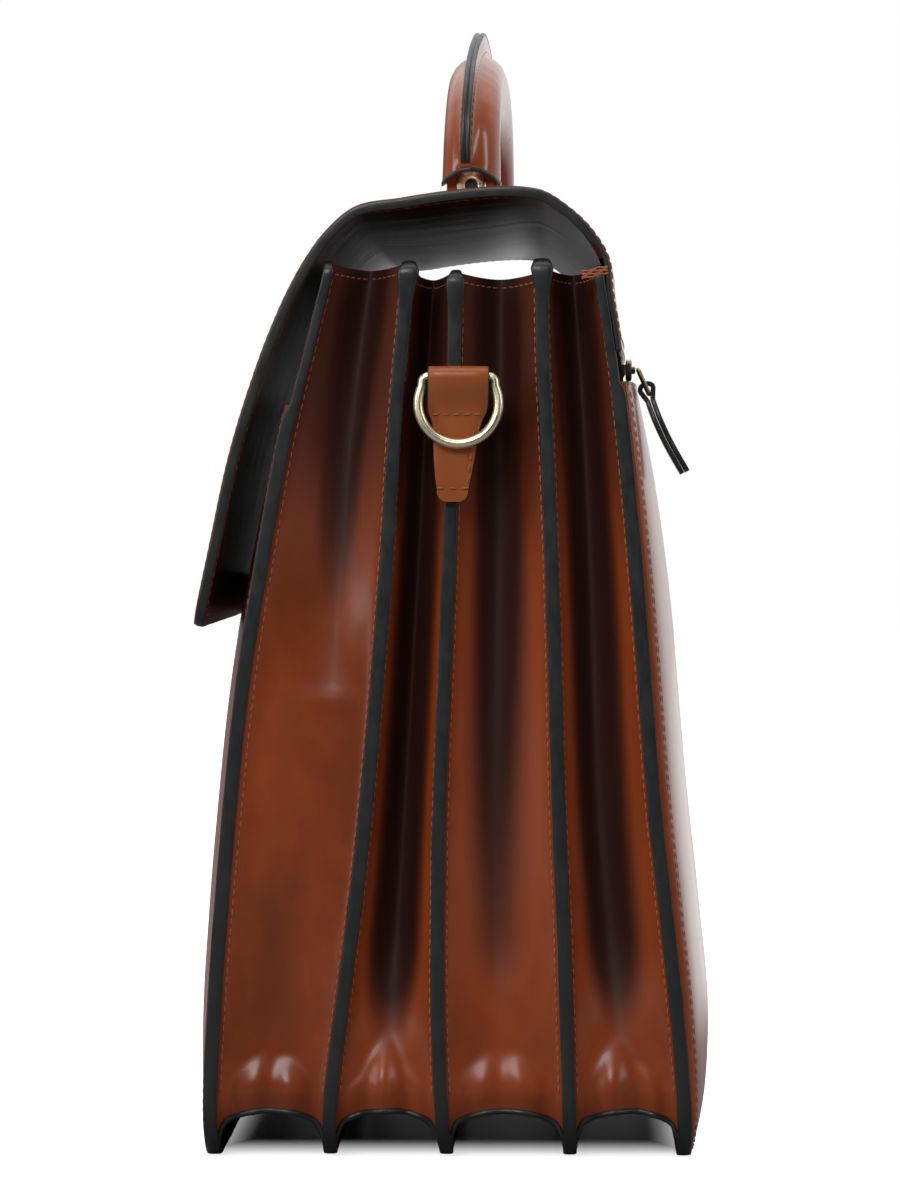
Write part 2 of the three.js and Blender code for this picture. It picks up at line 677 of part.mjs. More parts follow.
// The D-ring's wire line in its own plane: bar at height 0, legs clear of the tab, round bow below.
function ringLine() {
  const leg = TAB_LOOP_WIDTH / 2 + WIRE_RADIUS + 1.3 * GAP;
  const radius = leg + RING_BELLY;
  const start = Math.acos(leg / radius);
  const bow = steps(16).map((t) => {
    const angle = start - t * (Math.PI + 2 * start);
    return new THREE.Vector2(radius * Math.cos(angle), radius * Math.sin(angle) - RING_BAR_RISE);
  });
  const corner = (hand) => [0, 0.25, 0.5].map((turn) => new THREE.Vector2(
    hand * (leg - RING_CORNER_RADIUS * (1 - Math.sin(turn * Math.PI))),
    -RING_CORNER_RADIUS * (1 - Math.cos(turn * Math.PI)),
  ));
  return [...corner(1), ...bow, ...corner(-1).reverse()];
}

function makeRing(hand, side) {
  const line = ringLine();
  const sides = 8;
  const middle = tabMiddle();
  const lean = THREE.MathUtils.degToRad(RING_TILT);
  const rings = line.map((point, i) => {
    const before = line[(i - 1 + line.length) % line.length];
    const after = line[(i + 1) % line.length];
    const along = after.clone().sub(before).normalize();
    const normal = new THREE.Vector2(-along.y, along.x);
    return steps(sides).slice(1).map((t) => {
      const angle = t * 2 * Math.PI;
      const inPlane = point.clone().addScaledVector(normal, WIRE_RADIUS * Math.cos(angle));
      const out = WIRE_RADIUS * Math.sin(angle);
      return new THREE.Vector3(
        hand * (RING_SEAT + out * Math.cos(lean) - inPlane.y * Math.sin(lean)),
        middle + inPlane.x,
        RING_BAR_HEIGHT + inPlane.y * Math.cos(lean) + out * Math.sin(lean),
      );
    });
  });
  addPiece(`d_ring_${side}`, loft(rings, true), brass);
}

// The closed zip: a tape on the back wall just under the flap's tail, with its row of teeth raised.
function makeZip() {
  const half = ZIP_TAPE_WIDTH / 2;
  const teeth = ZIP_TEETH_WIDTH / 2;
  const profile = [[-half, 0], [-half, ZIP_TAPE_WALL], [-teeth, ZIP_TAPE_WALL], [-teeth, ZIP_TAPE_WALL + ZIP_TEETH_WALL],
    [teeth, ZIP_TAPE_WALL + ZIP_TEETH_WALL], [teeth, ZIP_TAPE_WALL], [half, ZIP_TAPE_WALL], [half, 0]];
  const rings = [-1, 1].map((u) => profile.map(([up, out]) => {
    const height = ZIP_HEIGHT + up;
    return new THREE.Vector3(u * (WIDTH / 2 - ZIP_SIDE_MARGIN), backFace(height) + GAP + out, height);
  }));
  const [first, second] = rings;
  const flat = profile.map(([up, out]) => new THREE.Vector2(out, up));
  const faces = THREE.ShapeUtils.triangulateShape(flat, []);
  const count = profile.length;
  const triangles = faces.flatMap(([a, b, c]) => [[a, b, c], [count + a, count + c, count + b]]);
  for (let i = 0; i < count; i++) {
    const b = (i + 1) % count;
    triangles.push([i, count + i, count + b], [i, count + b, b]);
  }
  addPiece("zip_tape", bodyFrom([...first, ...second], triangles), tapeFabric);
}

const ZIP_FRONT = ZIP_TAPE_WALL + ZIP_TEETH_WALL + 2 * GAP;

function makeSlider() {
  const outline = new THREE.Shape();
  const length = SLIDER_LENGTH / 2;
  const width = SLIDER_WIDTH / 2;
  outline.moveTo(-length, -width * 0.6);
  outline.lineTo(-length * 0.2, -width);
  outline.lineTo(length, -width * 0.8);
  outline.lineTo(length, width * 0.8);
  outline.lineTo(-length * 0.2, width);
  outline.lineTo(-length, width * 0.6);
  outline.closePath();
  const body = new THREE.ExtrudeGeometry(outline, {
    depth: SLIDER_HEIGHT - 0.8,
    bevelEnabled: true,
    bevelThickness: 0.4,
    bevelSize: 0.4,
    bevelOffset: -0.4,
    bevelSegments: 1,
  });
  body.translate(0, 0, 0.4);
  body.rotateX(-Math.PI / 2);
  const slider = addPiece("zip_slider", cleaned(body), darkBrass);
  slider.position.set(SLIDER_PLACE, backFace(ZIP_HEIGHT) + ZIP_FRONT, ZIP_HEIGHT);
}

// A frame that lies across the pull's direction: the metal link between slider and leather pull.
function pullFrame() {
  const lean = THREE.MathUtils.degToRad(PULL_LEAN);
  const start = new THREE.Vector2(backFace(ZIP_HEIGHT) + ZIP_FRONT + SLIDER_HEIGHT + GAP + LINK_WIRE_RADIUS, ZIP_HEIGHT);
  const along = new THREE.Vector2(Math.sin(lean), -Math.cos(lean));
  return { start, along, out: new THREE.Vector2(-along.y, along.x) };
}

function makeLink() {
  const { start, along, out } = pullFrame();
  const half = LINK_WIDTH / 2;
  const line = [[-half, 0], [half, 0], [half + 0.8, LINK_LENGTH * 0.5], [half, LINK_LENGTH], [-half, LINK_LENGTH],
    [-half - 0.8, LINK_LENGTH * 0.5]];
  const rings = line.map(([x, down], i) => {
    const before = line[(i + line.length - 1) % line.length];
    const after = line[(i + 1) % line.length];
    const way = new THREE.Vector2(after[0] - before[0], after[1] - before[1]).normalize();
    return steps(6).slice(1).map((t) => {
      const angle = t * 2 * Math.PI;
      const wide = LINK_WIRE_RADIUS * Math.cos(angle) * 1.2;
      const across = new THREE.Vector2(x - way.y * wide, down + way.x * wide);
      const place = start.clone().addScaledVector(along, across.y)
        .addScaledVector(out, LINK_WIRE_RADIUS * Math.sin(angle));
      return new THREE.Vector3(SLIDER_PLACE + across.x, place.x, place.y);
    });
  });
  addPiece("zip_pull_link", loft(rings, true), darkBrass);
}

// The leather pull: a folded strip whose loop holds the link's lower bar, wider below its neck.
function makePull() {
  const { start, along, out } = pullFrame();
  const loop = LINK_WIRE_RADIUS * 1.2 + 1.3 * GAP;
  const shell = loop + PULL_WALL / 2;
  const neck = LINK_WIDTH * 0.66;
  const at = (down, side, width) => {
    const point = start.clone().addScaledVector(along, LINK_LENGTH + down).addScaledVector(out, side);
    return { x: point.x, z: point.y, width };
  };
  const edge = (side) => [
    at(PULL_LENGTH, side, PULL_WIDTH * 0.9),
    at(PULL_LENGTH * 0.9, side, PULL_WIDTH),
    at(PULL_LENGTH * 0.4, side, PULL_WIDTH * 0.9),
    at(shell * 2, side, neck),
  ];
  const turn = steps(6).map((t) => at(-shell * Math.sin(t * Math.PI), -shell * Math.cos(t * Math.PI), neck));
  const outside = [...edge(-PULL_WALL / 2), ...turn, ...edge(PULL_WALL / 2).reverse()];
  const hole = steps(8).slice(1).map((t) => (
    at(-loop * Math.sin(t * 2 * Math.PI), -loop * Math.cos(t * 2 * Math.PI), neck)
  ));
  addPiece("zip_pull_tab", piercedSlab(outside, hole, (point, across) => new THREE.Vector3(
    SLIDER_PLACE + (across * point.width) / 2,
    point.x,
    point.z,
  )), leather);
}

// A plain clip over the flap's lower edge whose inner side reaches the front pocket.
function makeClasp() {
  const tip = FLAP_LINE[0].point;
  const up = FLAP_LINE[1].point.clone().sub(tip).normalize();
  const inward = new THREE.Vector2(up.y, -up.x);
  const layers = FLAP_WALL + GAP + LINING_WALL;
  const at = (rise, deep) => tip.clone().addScaledVector(up, rise).addScaledVector(inward, deep);
  const pocket = (rise) => {
    const height = at(rise, 0).y;
    const stand = pocketFace(height, FRONT_POCKET_HEIGHT, FRONT_POCKET_BULGE, 0) + POCKET_WALL + GAP;
    return new THREE.Vector2(frontFace(height) - stand, height);
  };
  const outline = [
    at(CLASP_HEIGHT, -GAP - CLASP_PLATE), at(CLASP_HEIGHT, -GAP), at(-GAP, -GAP), at(-GAP, layers + GAP),
    at(CLASP_HEIGHT * 0.6, layers + GAP), pocket(CLASP_HEIGHT * 0.6), pocket(-CLASP_PLATE),
    at(-CLASP_PLATE - GAP, -GAP - CLASP_PLATE),
  ];
  const faces = THREE.ShapeUtils.triangulateShape(outline, []);
  const count = outline.length;
  const points = [-0.5, 0.5].flatMap((u) => outline.map((p) => new THREE.Vector3(u * CLASP_WIDTH, p.x, p.y)));
  const triangles = faces.flatMap(([a, b, c]) => [[a, c, b], [count + a, count + b, count + c]]);
  const clockwise = THREE.ShapeUtils.isClockWise(outline);
  for (let i = 0; i < count; i++) {
    const b = (i + 1) % count;
    const wall = [[i, b, count + b], [i, count + b, count + i]];
    triangles.push(...(clockwise ? wall.map(([p, q, r]) => [p, r, q]) : wall));
  }
  addPiece("clasp", bodyFrom(points, triangles), brass);
}

WALLS.forEach(makeWall);
makePocket("front_pocket", FRONT_POCKET_HEIGHT, FRONT_POCKET_BULGE, frontFace, -1);
makePocket("back_pocket", BACK_POCKET_HEIGHT, BACK_POCKET_BULGE, backFace, 1);
for (let index = 0; index + 1 < WALLS.length; index++) {
  makeSideGusset(index, 1, `gusset_right_${index + 1}`);
  makeSideGusset(index, -1, `gusset_left_${index + 1}`);
  makeBottomGusset(index);
}
makeFlapLayer("flap", 0, FLAP_WALL, 0, FLAP_LINE.length, leather);
makeFlapLayer("flap_lining", FLAP_WALL + GAP, LINING_WALL, LINING_INSET, FLAP_SECTIONS.length, liningLeather);
makeGrip();
for (const [hand, side] of [[1, "right"], [-1, "left"]]) {
  makeStrap(hand, side);
  makeEyelet(hand, side);
  makeRivet(hand, side);
  makeTab(hand, side);
  makeRing(hand, side);
}
makeZip();
makeSlider();
makeLink();
makePull();
makeClasp();

// The origin is the middle of the satchel's base.
satchel.updateMatrixWorld(true);
const bounds = new THREE.Box3().setFromObject(satchel);
const middle = bounds.getCenter(new THREE.Vector3());
satchel.position.set(-middle.x, -middle.y, -bounds.min.z);

export default satchel;
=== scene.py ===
"""The school satchel's looks: fine leather, painted edges, stitches, brass and the light of the photograph.

Metres. X runs along the width, -Y is the front with the flap, +Z is up. The camera looks at the right side.
"""

import json
import math

import bpy
import numpy as np
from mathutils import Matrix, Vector


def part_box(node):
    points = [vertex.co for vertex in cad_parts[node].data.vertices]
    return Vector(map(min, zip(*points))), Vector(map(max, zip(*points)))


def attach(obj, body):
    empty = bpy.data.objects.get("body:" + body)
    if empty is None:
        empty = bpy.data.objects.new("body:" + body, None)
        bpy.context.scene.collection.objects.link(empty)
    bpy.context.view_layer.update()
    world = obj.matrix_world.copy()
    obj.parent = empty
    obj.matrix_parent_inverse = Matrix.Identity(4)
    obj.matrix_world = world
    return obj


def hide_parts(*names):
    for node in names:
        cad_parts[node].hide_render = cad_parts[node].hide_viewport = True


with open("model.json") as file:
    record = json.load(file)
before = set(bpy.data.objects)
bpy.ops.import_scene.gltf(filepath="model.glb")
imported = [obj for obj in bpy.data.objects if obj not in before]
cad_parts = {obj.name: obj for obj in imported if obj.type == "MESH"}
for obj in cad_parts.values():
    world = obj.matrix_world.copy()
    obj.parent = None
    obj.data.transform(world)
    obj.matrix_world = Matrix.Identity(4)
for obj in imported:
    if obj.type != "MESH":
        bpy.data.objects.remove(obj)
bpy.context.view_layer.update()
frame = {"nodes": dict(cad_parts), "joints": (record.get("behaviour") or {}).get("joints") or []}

MM = 0.001
ORIGIN_SHIFT = 0.298 * MM

# Sizes that the fine pieces share with the CAD part
HEIGHT = 311 * MM
BASE_DEPTH = 164 * MM
HALF_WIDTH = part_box("front_panel")[1].x
CORNER_RADIUS = 20 * MM
TOP_CORNER = 4 * MM
PANEL_WALL = 2 * MM
GUSSET_WALL = 1.1 * MM
POCKET_WALL = 1.3 * MM
FLAP_WALL = 1.9 * MM
LINING_WALL = 1.3 * MM
STRAP_WALL = 3.2 * MM
GAP = 0.3 * MM
SEAM_ALLOWANCE = 3 * MM
FOLD_HALF_WIDTH = 22 * MM
NOSE_HEIGHT = 62 * MM
NOSE_CURL = 4 * MM
CURL_HEIGHT = 8 * MM
GUSSET_DROP = 0.4 * MM
HEM_SAG = 1.5 * MM
BOTTOM_SEAM_HEIGHT = 3 * MM
BOTTOM_FLANGE_RISE = 8.6 * MM
BOTTOM_ARCH_RISE = 6 * MM
FRONT_POCKET_BULGE = 11 * MM
BACK_POCKET_BULGE = 12.5 * MM
FLAP_SAG = 3.5 * MM
FLAP_CORNER = 10 * MM
TAIL_LENGTH = 29 * MM
TAIL_RISE = 3 * MM
TAIL_BELLY = 3 * MM
HANDLE_SPAN = 200 * MM
HANDLE_RISE = 40 * MM
HANDLE_SQUARENESS = 2.7
GRIP_WIDTH = 20 * MM
GRIP_THICKNESS = 18 * MM
FIN_HEIGHT = 8.5 * MM
FIN_WALL = 3.7 * MM
STRAP_WIDTH = 18 * MM
STRAP_FOOT = 28 * MM
STRAP_BEND = 1.2 * MM
WIRE_RADIUS = 1.75 * MM
TAB_WALL = 1.6 * MM
TAB_LOOP_WIDTH = 20.6 * MM
TAB_LENGTH = 43 * MM
LINK_LENGTH = 9 * MM
LINK_WIDTH = 6 * MM
LINK_WIRE = 0.8 * MM
PULL_LENGTH = 32 * MM
PULL_WIDTH = 11 * MM
PULL_WALL = 3.4 * MM
PULL_LEAN = math.radians(24)

# Only the looks: painted edges and stitches
POCKET_SEAM = 5.5 * MM
EDGE_INSET = 0.5 * MM
EDGE_RISE = 0.65 * MM
STITCH_PITCH = 3.4 * MM
STITCH_LENGTH = 2.7 * MM
STITCH_WIDTH = 0.62 * MM

WALLS = ["front_panel", "divider_1", "divider_2", "divider_3", "back_panel"]

# The flap's outer line: depth as a share of BASE_DEPTH, height of HEIGHT, and its share of the middle sag.
FLAP_SECTIONS = [
    (-0.54, 0.597, 0),
    (-0.507, 0.679, 0),
    (-0.457, 0.798, 0),
    (-0.419, 0.863, 0),
    (-0.376, 0.925, 0),
    (-0.33, 0.978, 0),
    (-0.302, 1.004, 0.05),
    (-0.257, 1.036, 0.15),
    (-0.201, 1.061, 0.3),
    (-0.098, 1.072, 0.8),
    (0.004, 1.08, 1),
    (0.09, 1.084, 0.9),
    (0.157, 1.084, 0.45),
    (0.198, 1.08, 0.2),
    (0.248, 1.064, 0.08),
    (0.302, 1.037, 0),
]

# How far a pocket stands out: height as a share of the pocket's, bulge of its largest.
POCKET_SECTIONS = [(0, 0), (0.05, 0.5), (0.13, 0.86), (0.3, 1), (0.5, 1), (0.75, 0.92), (0.9, 0.72), (1, 0.5)]

# Each side gusset: where its valley lies (-1 front wall, 1 back wall) at five heights in millimetres, and
# the lobes of its lower nose as (across, height where it starts in mm, spread across, mm outward).
VALLEY_HEIGHTS = [0, 60, 120, 200, 310]
GUSSETS = [
    {
        "valley": [0.05, 0.15, 0.3, 0.25, 0.02],
        "noses": [(-0.34, 40, 0.36, 4.6), (0.32, 38, 0.34, 4.8)],
    },
    {
        "valley": [0.0, 0.0, 0.0, -0.05, 0.0],
        "noses": [(-0.08, 46, 0.34, 6.0), (-0.68, 32, 0.16, 1.6), (0.62, 34, 0.18, 2.0)],
    },
    {
        "valley": [-0.08, -0.08, -0.1, -0.06, 0.04],
        "noses": [(-0.38, 40, 0.36, 4.6), (0.3, 40, 0.36, 5.0)],
    },
    {
        "valley": [-0.05, -0.12, -0.18, -0.1, 0.1],
        "noses": [(-0.26, 44, 0.34, 5.6), (0.5, 36, 0.2, 2.6)],
    },
]

# Each wall's painted edge near its top: extra width to the front and back, and how far down it reaches, mm.
EDGE_FLARES = [(0.2, 0.3, 6), (1.4, 1.7, 15), (0.8, 0.9, 18), (1.9, 1.9, 13), (0.3, 0.4, 8)]


def smooth(x):
    t = np.clip(x, 0, 1)
    return t * t * (3 - 2 * t)


def curve(at, values):
    """A smooth curve through values, one number or one point for each place."""
    at = np.asarray(at, float)
    values = np.asarray(values, float)
    slopes = np.gradient(values, at, axis=0)

    def read(where):
        where = np.clip(np.asarray(where, float), at[0], at[-1])
        i = np.clip(np.searchsorted(at, where) - 1, 0, len(at) - 2)
        span = at[i + 1] - at[i]
        t = (where - at[i]) / span
        if values.ndim == 2:
            span = span[..., None]
            t = t[..., None]
        return (
            (1 + 2 * t) * (1 - t) ** 2 * values[i]
            + t * (1 - t) ** 2 * span * slopes[i]
            + t * t * (3 - 2 * t) * values[i + 1]
            - t * t * (1 - t) * span * slopes[i + 1]
        )

    return read


def ripple(along, seed, cycles=(3, 7, 16, 37)):
    """A wandering value near -1 to 1 that closes over along = 0 to 1."""
    turns = np.random.default_rng(seed).random(len(cycles))
    return sum(np.cos(2 * np.pi * (n * along + turn)) for n, turn in zip(cycles, turns)) / len(cycles)


def unit(vectors):
    return vectors / np.maximum(np.linalg.norm(vectors, axis=-1, keepdims=True), 1e-12)


def spaced(points, step):
    """The same line with points an even step apart."""
    points = np.asarray(points, float)
    gone = np.concatenate([[0], np.cumsum(np.linalg.norm(np.diff(points, axis=0), axis=1))])
    count = max(int(round(gone[-1] / step)), 2)
    places = np.linspace(0, gone[-1], count + 1)
    return np.stack([np.interp(places, gone, points[:, k]) for k in range(points.shape[1])], axis=1)


materials = {}


def build(name, points, faces, look, body="bag", looks=None, layers=None, sharp=40):
    """A closed mesh piece that rides on a body. look may be several materials, looks the face's choice."""
    points = np.asarray(points, float).reshape(-1, 3)
    volume = 0
    for face in faces:
        for k in range(1, len(face) - 1):
            volume += np.dot(points[face[0]], np.cross(points[face[k]], points[face[k + 1]]))
    if volume < 0:
        faces = [face[::-1] for face in faces]
    mesh = bpy.data.meshes.new(name)
    mesh.from_pydata(points.tolist(), [], [list(map(int, face)) for face in faces])
    for each in [look] if isinstance(look, str) else look:
        mesh.materials.append(materials[each])
    if looks is not None:
        mesh.polygons.foreach_set("material_index", looks)
    for layer, values in (layers or {}).items():
        mesh.attributes.new(layer, "FLOAT", "POINT").data.foreach_set("value", np.asarray(values, np.float32).ravel())
    mesh.polygons.foreach_set("use_smooth", [True] * len(mesh.polygons))
    mesh.set_sharp_from_angle(angle=math.radians(sharp))
    mesh.update()
    piece = bpy.data.objects.new(name, mesh)
    bpy.context.scene.collection.objects.link(piece)
    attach(piece, body)
    return piece


def sheet(name, front, back, look, layers=None, **rest):
    """A closed sheet between two grids of points, whose rim joins them. look may be (front, back) materials."""
    m, n = front.shape[:2]
    points = np.concatenate([front.reshape(-1, 3), back.reshape(-1, 3)])
    at = np.arange(m * n).reshape(m, n)
    faces = []
    looks = []
    for i in range(m - 1):
        for j in range(n - 1):
            faces.append((at[i, j], at[i + 1, j], at[i + 1, j + 1], at[i, j + 1]))
            looks.append(0)
    for i in range(m - 1):
        for j in range(n - 1):
            faces.append(tuple(m * n + k for k in (at[i, j], at[i, j + 1], at[i + 1, j + 1], at[i + 1, j])))
            looks.append(1)
    rim = [*at[:-1, 0], *at[-1, :-1], *at[:0:-1, -1], *at[0, :0:-1]]
    for k, a in enumerate(rim):
        b = rim[(k + 1) % len(rim)]
        faces.append((b, a, m * n + a, m * n + b))
        looks.append(0)
    if isinstance(look, str):
        looks = None
    if layers:
        layers = {key: np.concatenate([values.ravel(), values.ravel()]) for key, values in layers.items()}
    return build(name, points, faces, look, looks=looks, layers=layers, **rest)


def tube(name, rings, look, looped=False, side_looks=None, **rest):
    """A closed body through rings of points. side_looks chooses the material of each face round a ring."""
    count, sides = rings.shape[:2]
    at = np.arange(count * sides).reshape(count, sides)
    faces = []
    looks = []
    for i in range(count if looped else count - 1):
        for j in range(sides):
            k = (j + 1) % sides
            after = (i + 1) % count
            faces.append((at[i, j], at[i, k], at[after, k], at[after, j]))
            looks.append(side_looks[j] if side_looks is not None else 0)
    if not looped:
        faces.append(tuple(at[0, ::-1]))
        faces.append(tuple(at[-1]))
        looks += [1, 1] if side_looks is not None else [0, 0]
    return build(name, rings, faces, look, looks=looks if side_looks is not None else None, **rest)


def bead(name, path, out, side, low, high, rise, looped=True, groove=0, look="edge_paint"):
    """A painted edge along a path: low and high are its reach along side, rise its dome's height along out."""
    angles = np.linspace(0, np.pi, 13)
    across = np.sign(np.cos(angles)) * np.abs(np.cos(angles)) ** 0.7
    dome = np.sin(angles) ** 0.6 - groove * np.exp(-((across / 0.16) ** 2))
    across = np.concatenate([across, [-0.86, 0.86]])
    dome = np.concatenate([dome, [-2.2, -2.2]])
    middle = (low + high) / 2
    half = (high - low) / 2
    rings = (
        path[:, None]
        + side[:, None] * (middle[:, None, None] + half[:, None, None] * across[None, :, None])
        + out[:, None] * (rise[:, None, None] * dome[None, :, None])
    )
    return tube(name, rings, look, looped=looped, sharp=60)


def strap(name, path, normal, side, width, wall, body="bag", look=("leather", "edge_paint"), bulge=0.18):
    """A leather strip along a path with painted narrow sides. width and wall have one value for each point."""
    profile = [(-1, -0.62), (-0.965, -1), (-0.5, -1 - bulge * 0.7), (0, -1 - bulge), (0.5, -1 - bulge * 0.7), (0.965, -1)]
    profile += [(1, -0.62), (1, 0.62), (0.965, 1), (0.5, 1 + bulge * 0.7), (0, 1 + bulge), (-0.5, 1 + bulge * 0.7)]
    profile += [(-0.965, 1), (-1, 0.62)]
    profile = np.array(profile)
    sides = [1, 0, 0, 0, 0, 1, 1, 1, 0, 0, 0, 0, 1, 1]
    rings = (
        path[:, None]
        + side[:, None] * (width[:, None, None] / 2 * profile[None, :, :1])
        + normal[:, None] * (wall[:, None, None] / 2 * profile[None, :, 1:])
    )
    return tube(name, rings, list(look), side_looks=sides, body=body, sharp=50)


stitch_lines = []


def stitch(points, up, step=None):
    """Marks a line of stitches on a surface: up is the way out of the surface, one for all or each point."""
    points = np.asarray(points, float)
    up = np.broadcast_to(np.asarray(up, float), points.shape)
    both = spaced(np.concatenate([points, up], axis=1), step or 4 * MM) if len(points) > 2 else np.concatenate(
        [points, up], axis=1
    )
    stitch_lines.append((both[:, :3], unit(both[:, 3:])))


def wall_line(name):
    """A CAD wall's middle read from its own vertices: its place in Y at any height."""
    rows = {}
    for vertex in frame["nodes"][name].data.vertices:
        rows.setdefault(round(vertex.co.z, 4), []).append(vertex.co.y)
    heights = sorted(rows)
    return curve(heights, [(min(rows[h]) + max(rows[h])) / 2 for h in heights])


wall_y = [wall_line(name) for name in WALLS]
wall_bottom = [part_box(name)[0].z for name in WALLS]
wall_top = [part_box(name)[1].z for name in WALLS]
front_pocket_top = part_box("front_pocket")[1].z
back_pocket_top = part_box("back_pocket")[1].z
zip_height = (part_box("zip_tape")[0].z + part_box("zip_tape")[1].z) / 2


def half_width(height):
    """The width line that every wall and gusset ends on, drawn in round the lower corners."""
    below = np.clip(CORNER_RADIUS - height, 0, CORNER_RADIUS)
    return HALF_WIDTH - CORNER_RADIUS + np.sqrt(CORNER_RADIUS**2 - below**2)


# MATERIALS


def tree_node(tree, kind, place, values=None, **settings):
    made = tree.nodes.new(kind)
    made.location = place
    for key, value in settings.items():
        setattr(made, key, value)
    for key, value in (values or {}).items():
        made.inputs[key].default_value = value
    return made


def group(name, inputs, outputs):
    """An empty shader group with its sockets: (name, kind, value) in, (name, kind) out."""
    tree = bpy.data.node_groups.new(name, "ShaderNodeTree")
    for title, kind, value in inputs:
        tree.interface.new_socket(title, in_out="INPUT", socket_type=kind).default_value = value
    for title, kind in outputs:
        tree.interface.new_socket(title, in_out="OUTPUT", socket_type=kind)
    return tree, tree.nodes.new("NodeGroupInput"), tree_node(tree, "NodeGroupOutput", (1400, 0))


def scaled_noise(tree, place, stretch, scale, detail=3, roughness=0.5):
    """Noise over the piece's own coordinates, stretched along each axis."""
    where = tree_node(tree, "ShaderNodeTexCoord", (place[0] - 400, place[1]))
    stretched = tree_node(tree, "ShaderNodeMapping", (place[0] - 200, place[1]), {"Scale": stretch})
    noise = tree_node(
        tree, "ShaderNodeTexNoise", place, {"Scale": scale, "Detail": detail, "Roughness": roughness}
    )
    tree.links.new(where.outputs["Object"], stretched.inputs["Vector"])
    tree.links.new(stretched.outputs["Vector"], noise.inputs["Vector"])
    return noise.outputs["Fac"]


def math_node(tree, operation, place, first, second):
    made = tree_node(tree, "ShaderNodeMath", place, operation=operation)
    for socket, value in zip(made.inputs, (first, second)):
        if isinstance(value, (int, float)):
            socket.default_value = value
        else:
            tree.links.new(value, socket)
    return made.outputs[0]


def range_node(tree, place, value, low, high, to_low, to_high):
    made = tree_node(
        tree,
        "ShaderNodeMapRange",
        place,
        {"From Min": low, "From Max": high, "To Min": to_low, "To Max": to_high},
        interpolation_type="SMOOTHSTEP",
    )
    tree.links.new(value, made.inputs["Value"])
    return made.outputs["Result"]


def mix_colour(tree, place, factor, first, second):
    made = tree_node(tree, "ShaderNodeMix", place, data_type="RGBA")
    for index, value in ((0, factor), (6, first), (7, second)):
        if isinstance(value, (int, float, tuple)):
            made.inputs[index].default_value = value
        else:
            tree.links.new(value, made.inputs[index])
    return made.outputs[2]


def make_grain_group():
    """Leather grain: fine pebbles, pores and long soft creases."""
    inputs = [("Pebbles", "NodeSocketFloat", 1.0), ("Creases", "NodeSocketFloat", 1.0)]
    tree, given, made = group("satchel grain", inputs, [("Height", "NodeSocketFloat")])
    where = tree_node(tree, "ShaderNodeTexCoord", (-800, 300))
    pebbles = tree_node(tree, "ShaderNodeTexVoronoi", (-500, 300), {"Scale": 900.0, "Smoothness": 0.7}, feature="SMOOTH_F1")
    tree.links.new(where.outputs["Object"], pebbles.inputs["Vector"])
    fine = scaled_noise(tree, (-500, 0), (1, 1, 1), 420.0, 4, 0.6)
    creases = scaled_noise(tree, (-500, -300), (1, 1, 0.16), 55.0, 3, 0.55)
    waves = scaled_noise(tree, (-500, -600), (1, 1, 0.5), 14.0, 2, 0.5)
    small = math_node(tree, "ADD", (-200, 200), math_node(tree, "MULTIPLY", (-350, 200), pebbles.outputs["Distance"], 0.05), math_node(tree, "MULTIPLY", (-350, 0), fine, 0.1))
    long = math_node(tree, "ADD", (-200, -300), math_node(tree, "MULTIPLY", (-350, -300), creases, 0.5), math_node(tree, "MULTIPLY", (-350, -600), waves, 1.1))
    small = math_node(tree, "MULTIPLY", (0, 200), small, given.outputs["Pebbles"])
    long = math_node(tree, "MULTIPLY", (0, -300), long, given.outputs["Creases"])
    tree.links.new(math_node(tree, "ADD", (200, 0), small, long), made.inputs["Height"])
    return tree


def make_tone_group():
    """Leather tone: light and deep colour in soft patches, and painted shade that turns it deeper where the piece's
    fold shade value is high.
    """
    inputs = [
        ("Light", "NodeSocketColor", (0.3, 0.1, 0.03, 1)),
        ("Deep", "NodeSocketColor", (0.08, 0.02, 0.01, 1)),
        ("Gloss", "NodeSocketFloat", 0.3),
        ("Coat", "NodeSocketFloat", 0.3),
    ]
    outputs = [("Color", "NodeSocketColor"), ("Roughness", "NodeSocketFloat"), ("Coat", "NodeSocketFloat")]
    tree, given, made = group("satchel tone", inputs, outputs)
    patches = scaled_noise(tree, (-500, 200), (1, 1, 0.35), 18.0, 3, 0.55)
    mottle = scaled_noise(tree, (-500, -100), (1, 1, 0.7), 90.0, 3, 0.6)
    blend = math_node(tree, "ADD", (-200, 100), math_node(tree, "MULTIPLY", (-350, 200), patches, 0.75), math_node(tree, "MULTIPLY", (-350, -100), mottle, 0.25))
    tone = range_node(tree, (0, 100), blend, 0.3, 0.7, 0.5, 0.0)
    # Painted shade: the fold shade attribute mixes the colour towards the deep one, and also dulls the coat.
    fold_shade = tree_node(tree, "ShaderNodeAttribute", (-200, -300), attribute_name="fold_shade")
    both = math_node(tree, "MAXIMUM", (200, 0), tone, fold_shade.outputs["Fac"])
    tree.links.new(mix_colour(tree, (400, 100), both, given.outputs["Light"], given.outputs["Deep"]), made.inputs["Color"])
    rough = math_node(tree, "MULTIPLY", (400, -200), range_node(tree, (200, -300), blend, 0.3, 0.7, 0.86, 1.14), given.outputs["Gloss"])
    dull = math_node(tree, "MULTIPLY", (400, -400), fold_shade.outputs["Fac"], 0.3)
    tree.links.new(math_node(tree, "ADD", (600, -300), rough, dull), made.inputs["Roughness"])
    clear = range_node(tree, (400, -600), fold_shade.outputs["Fac"], 0.0, 0.5, 1.0, 0.0)
    tree.links.new(math_node(tree, "MULTIPLY", (600, -600), clear, given.outputs["Coat"]), made.inputs["Coat"])
    return tree


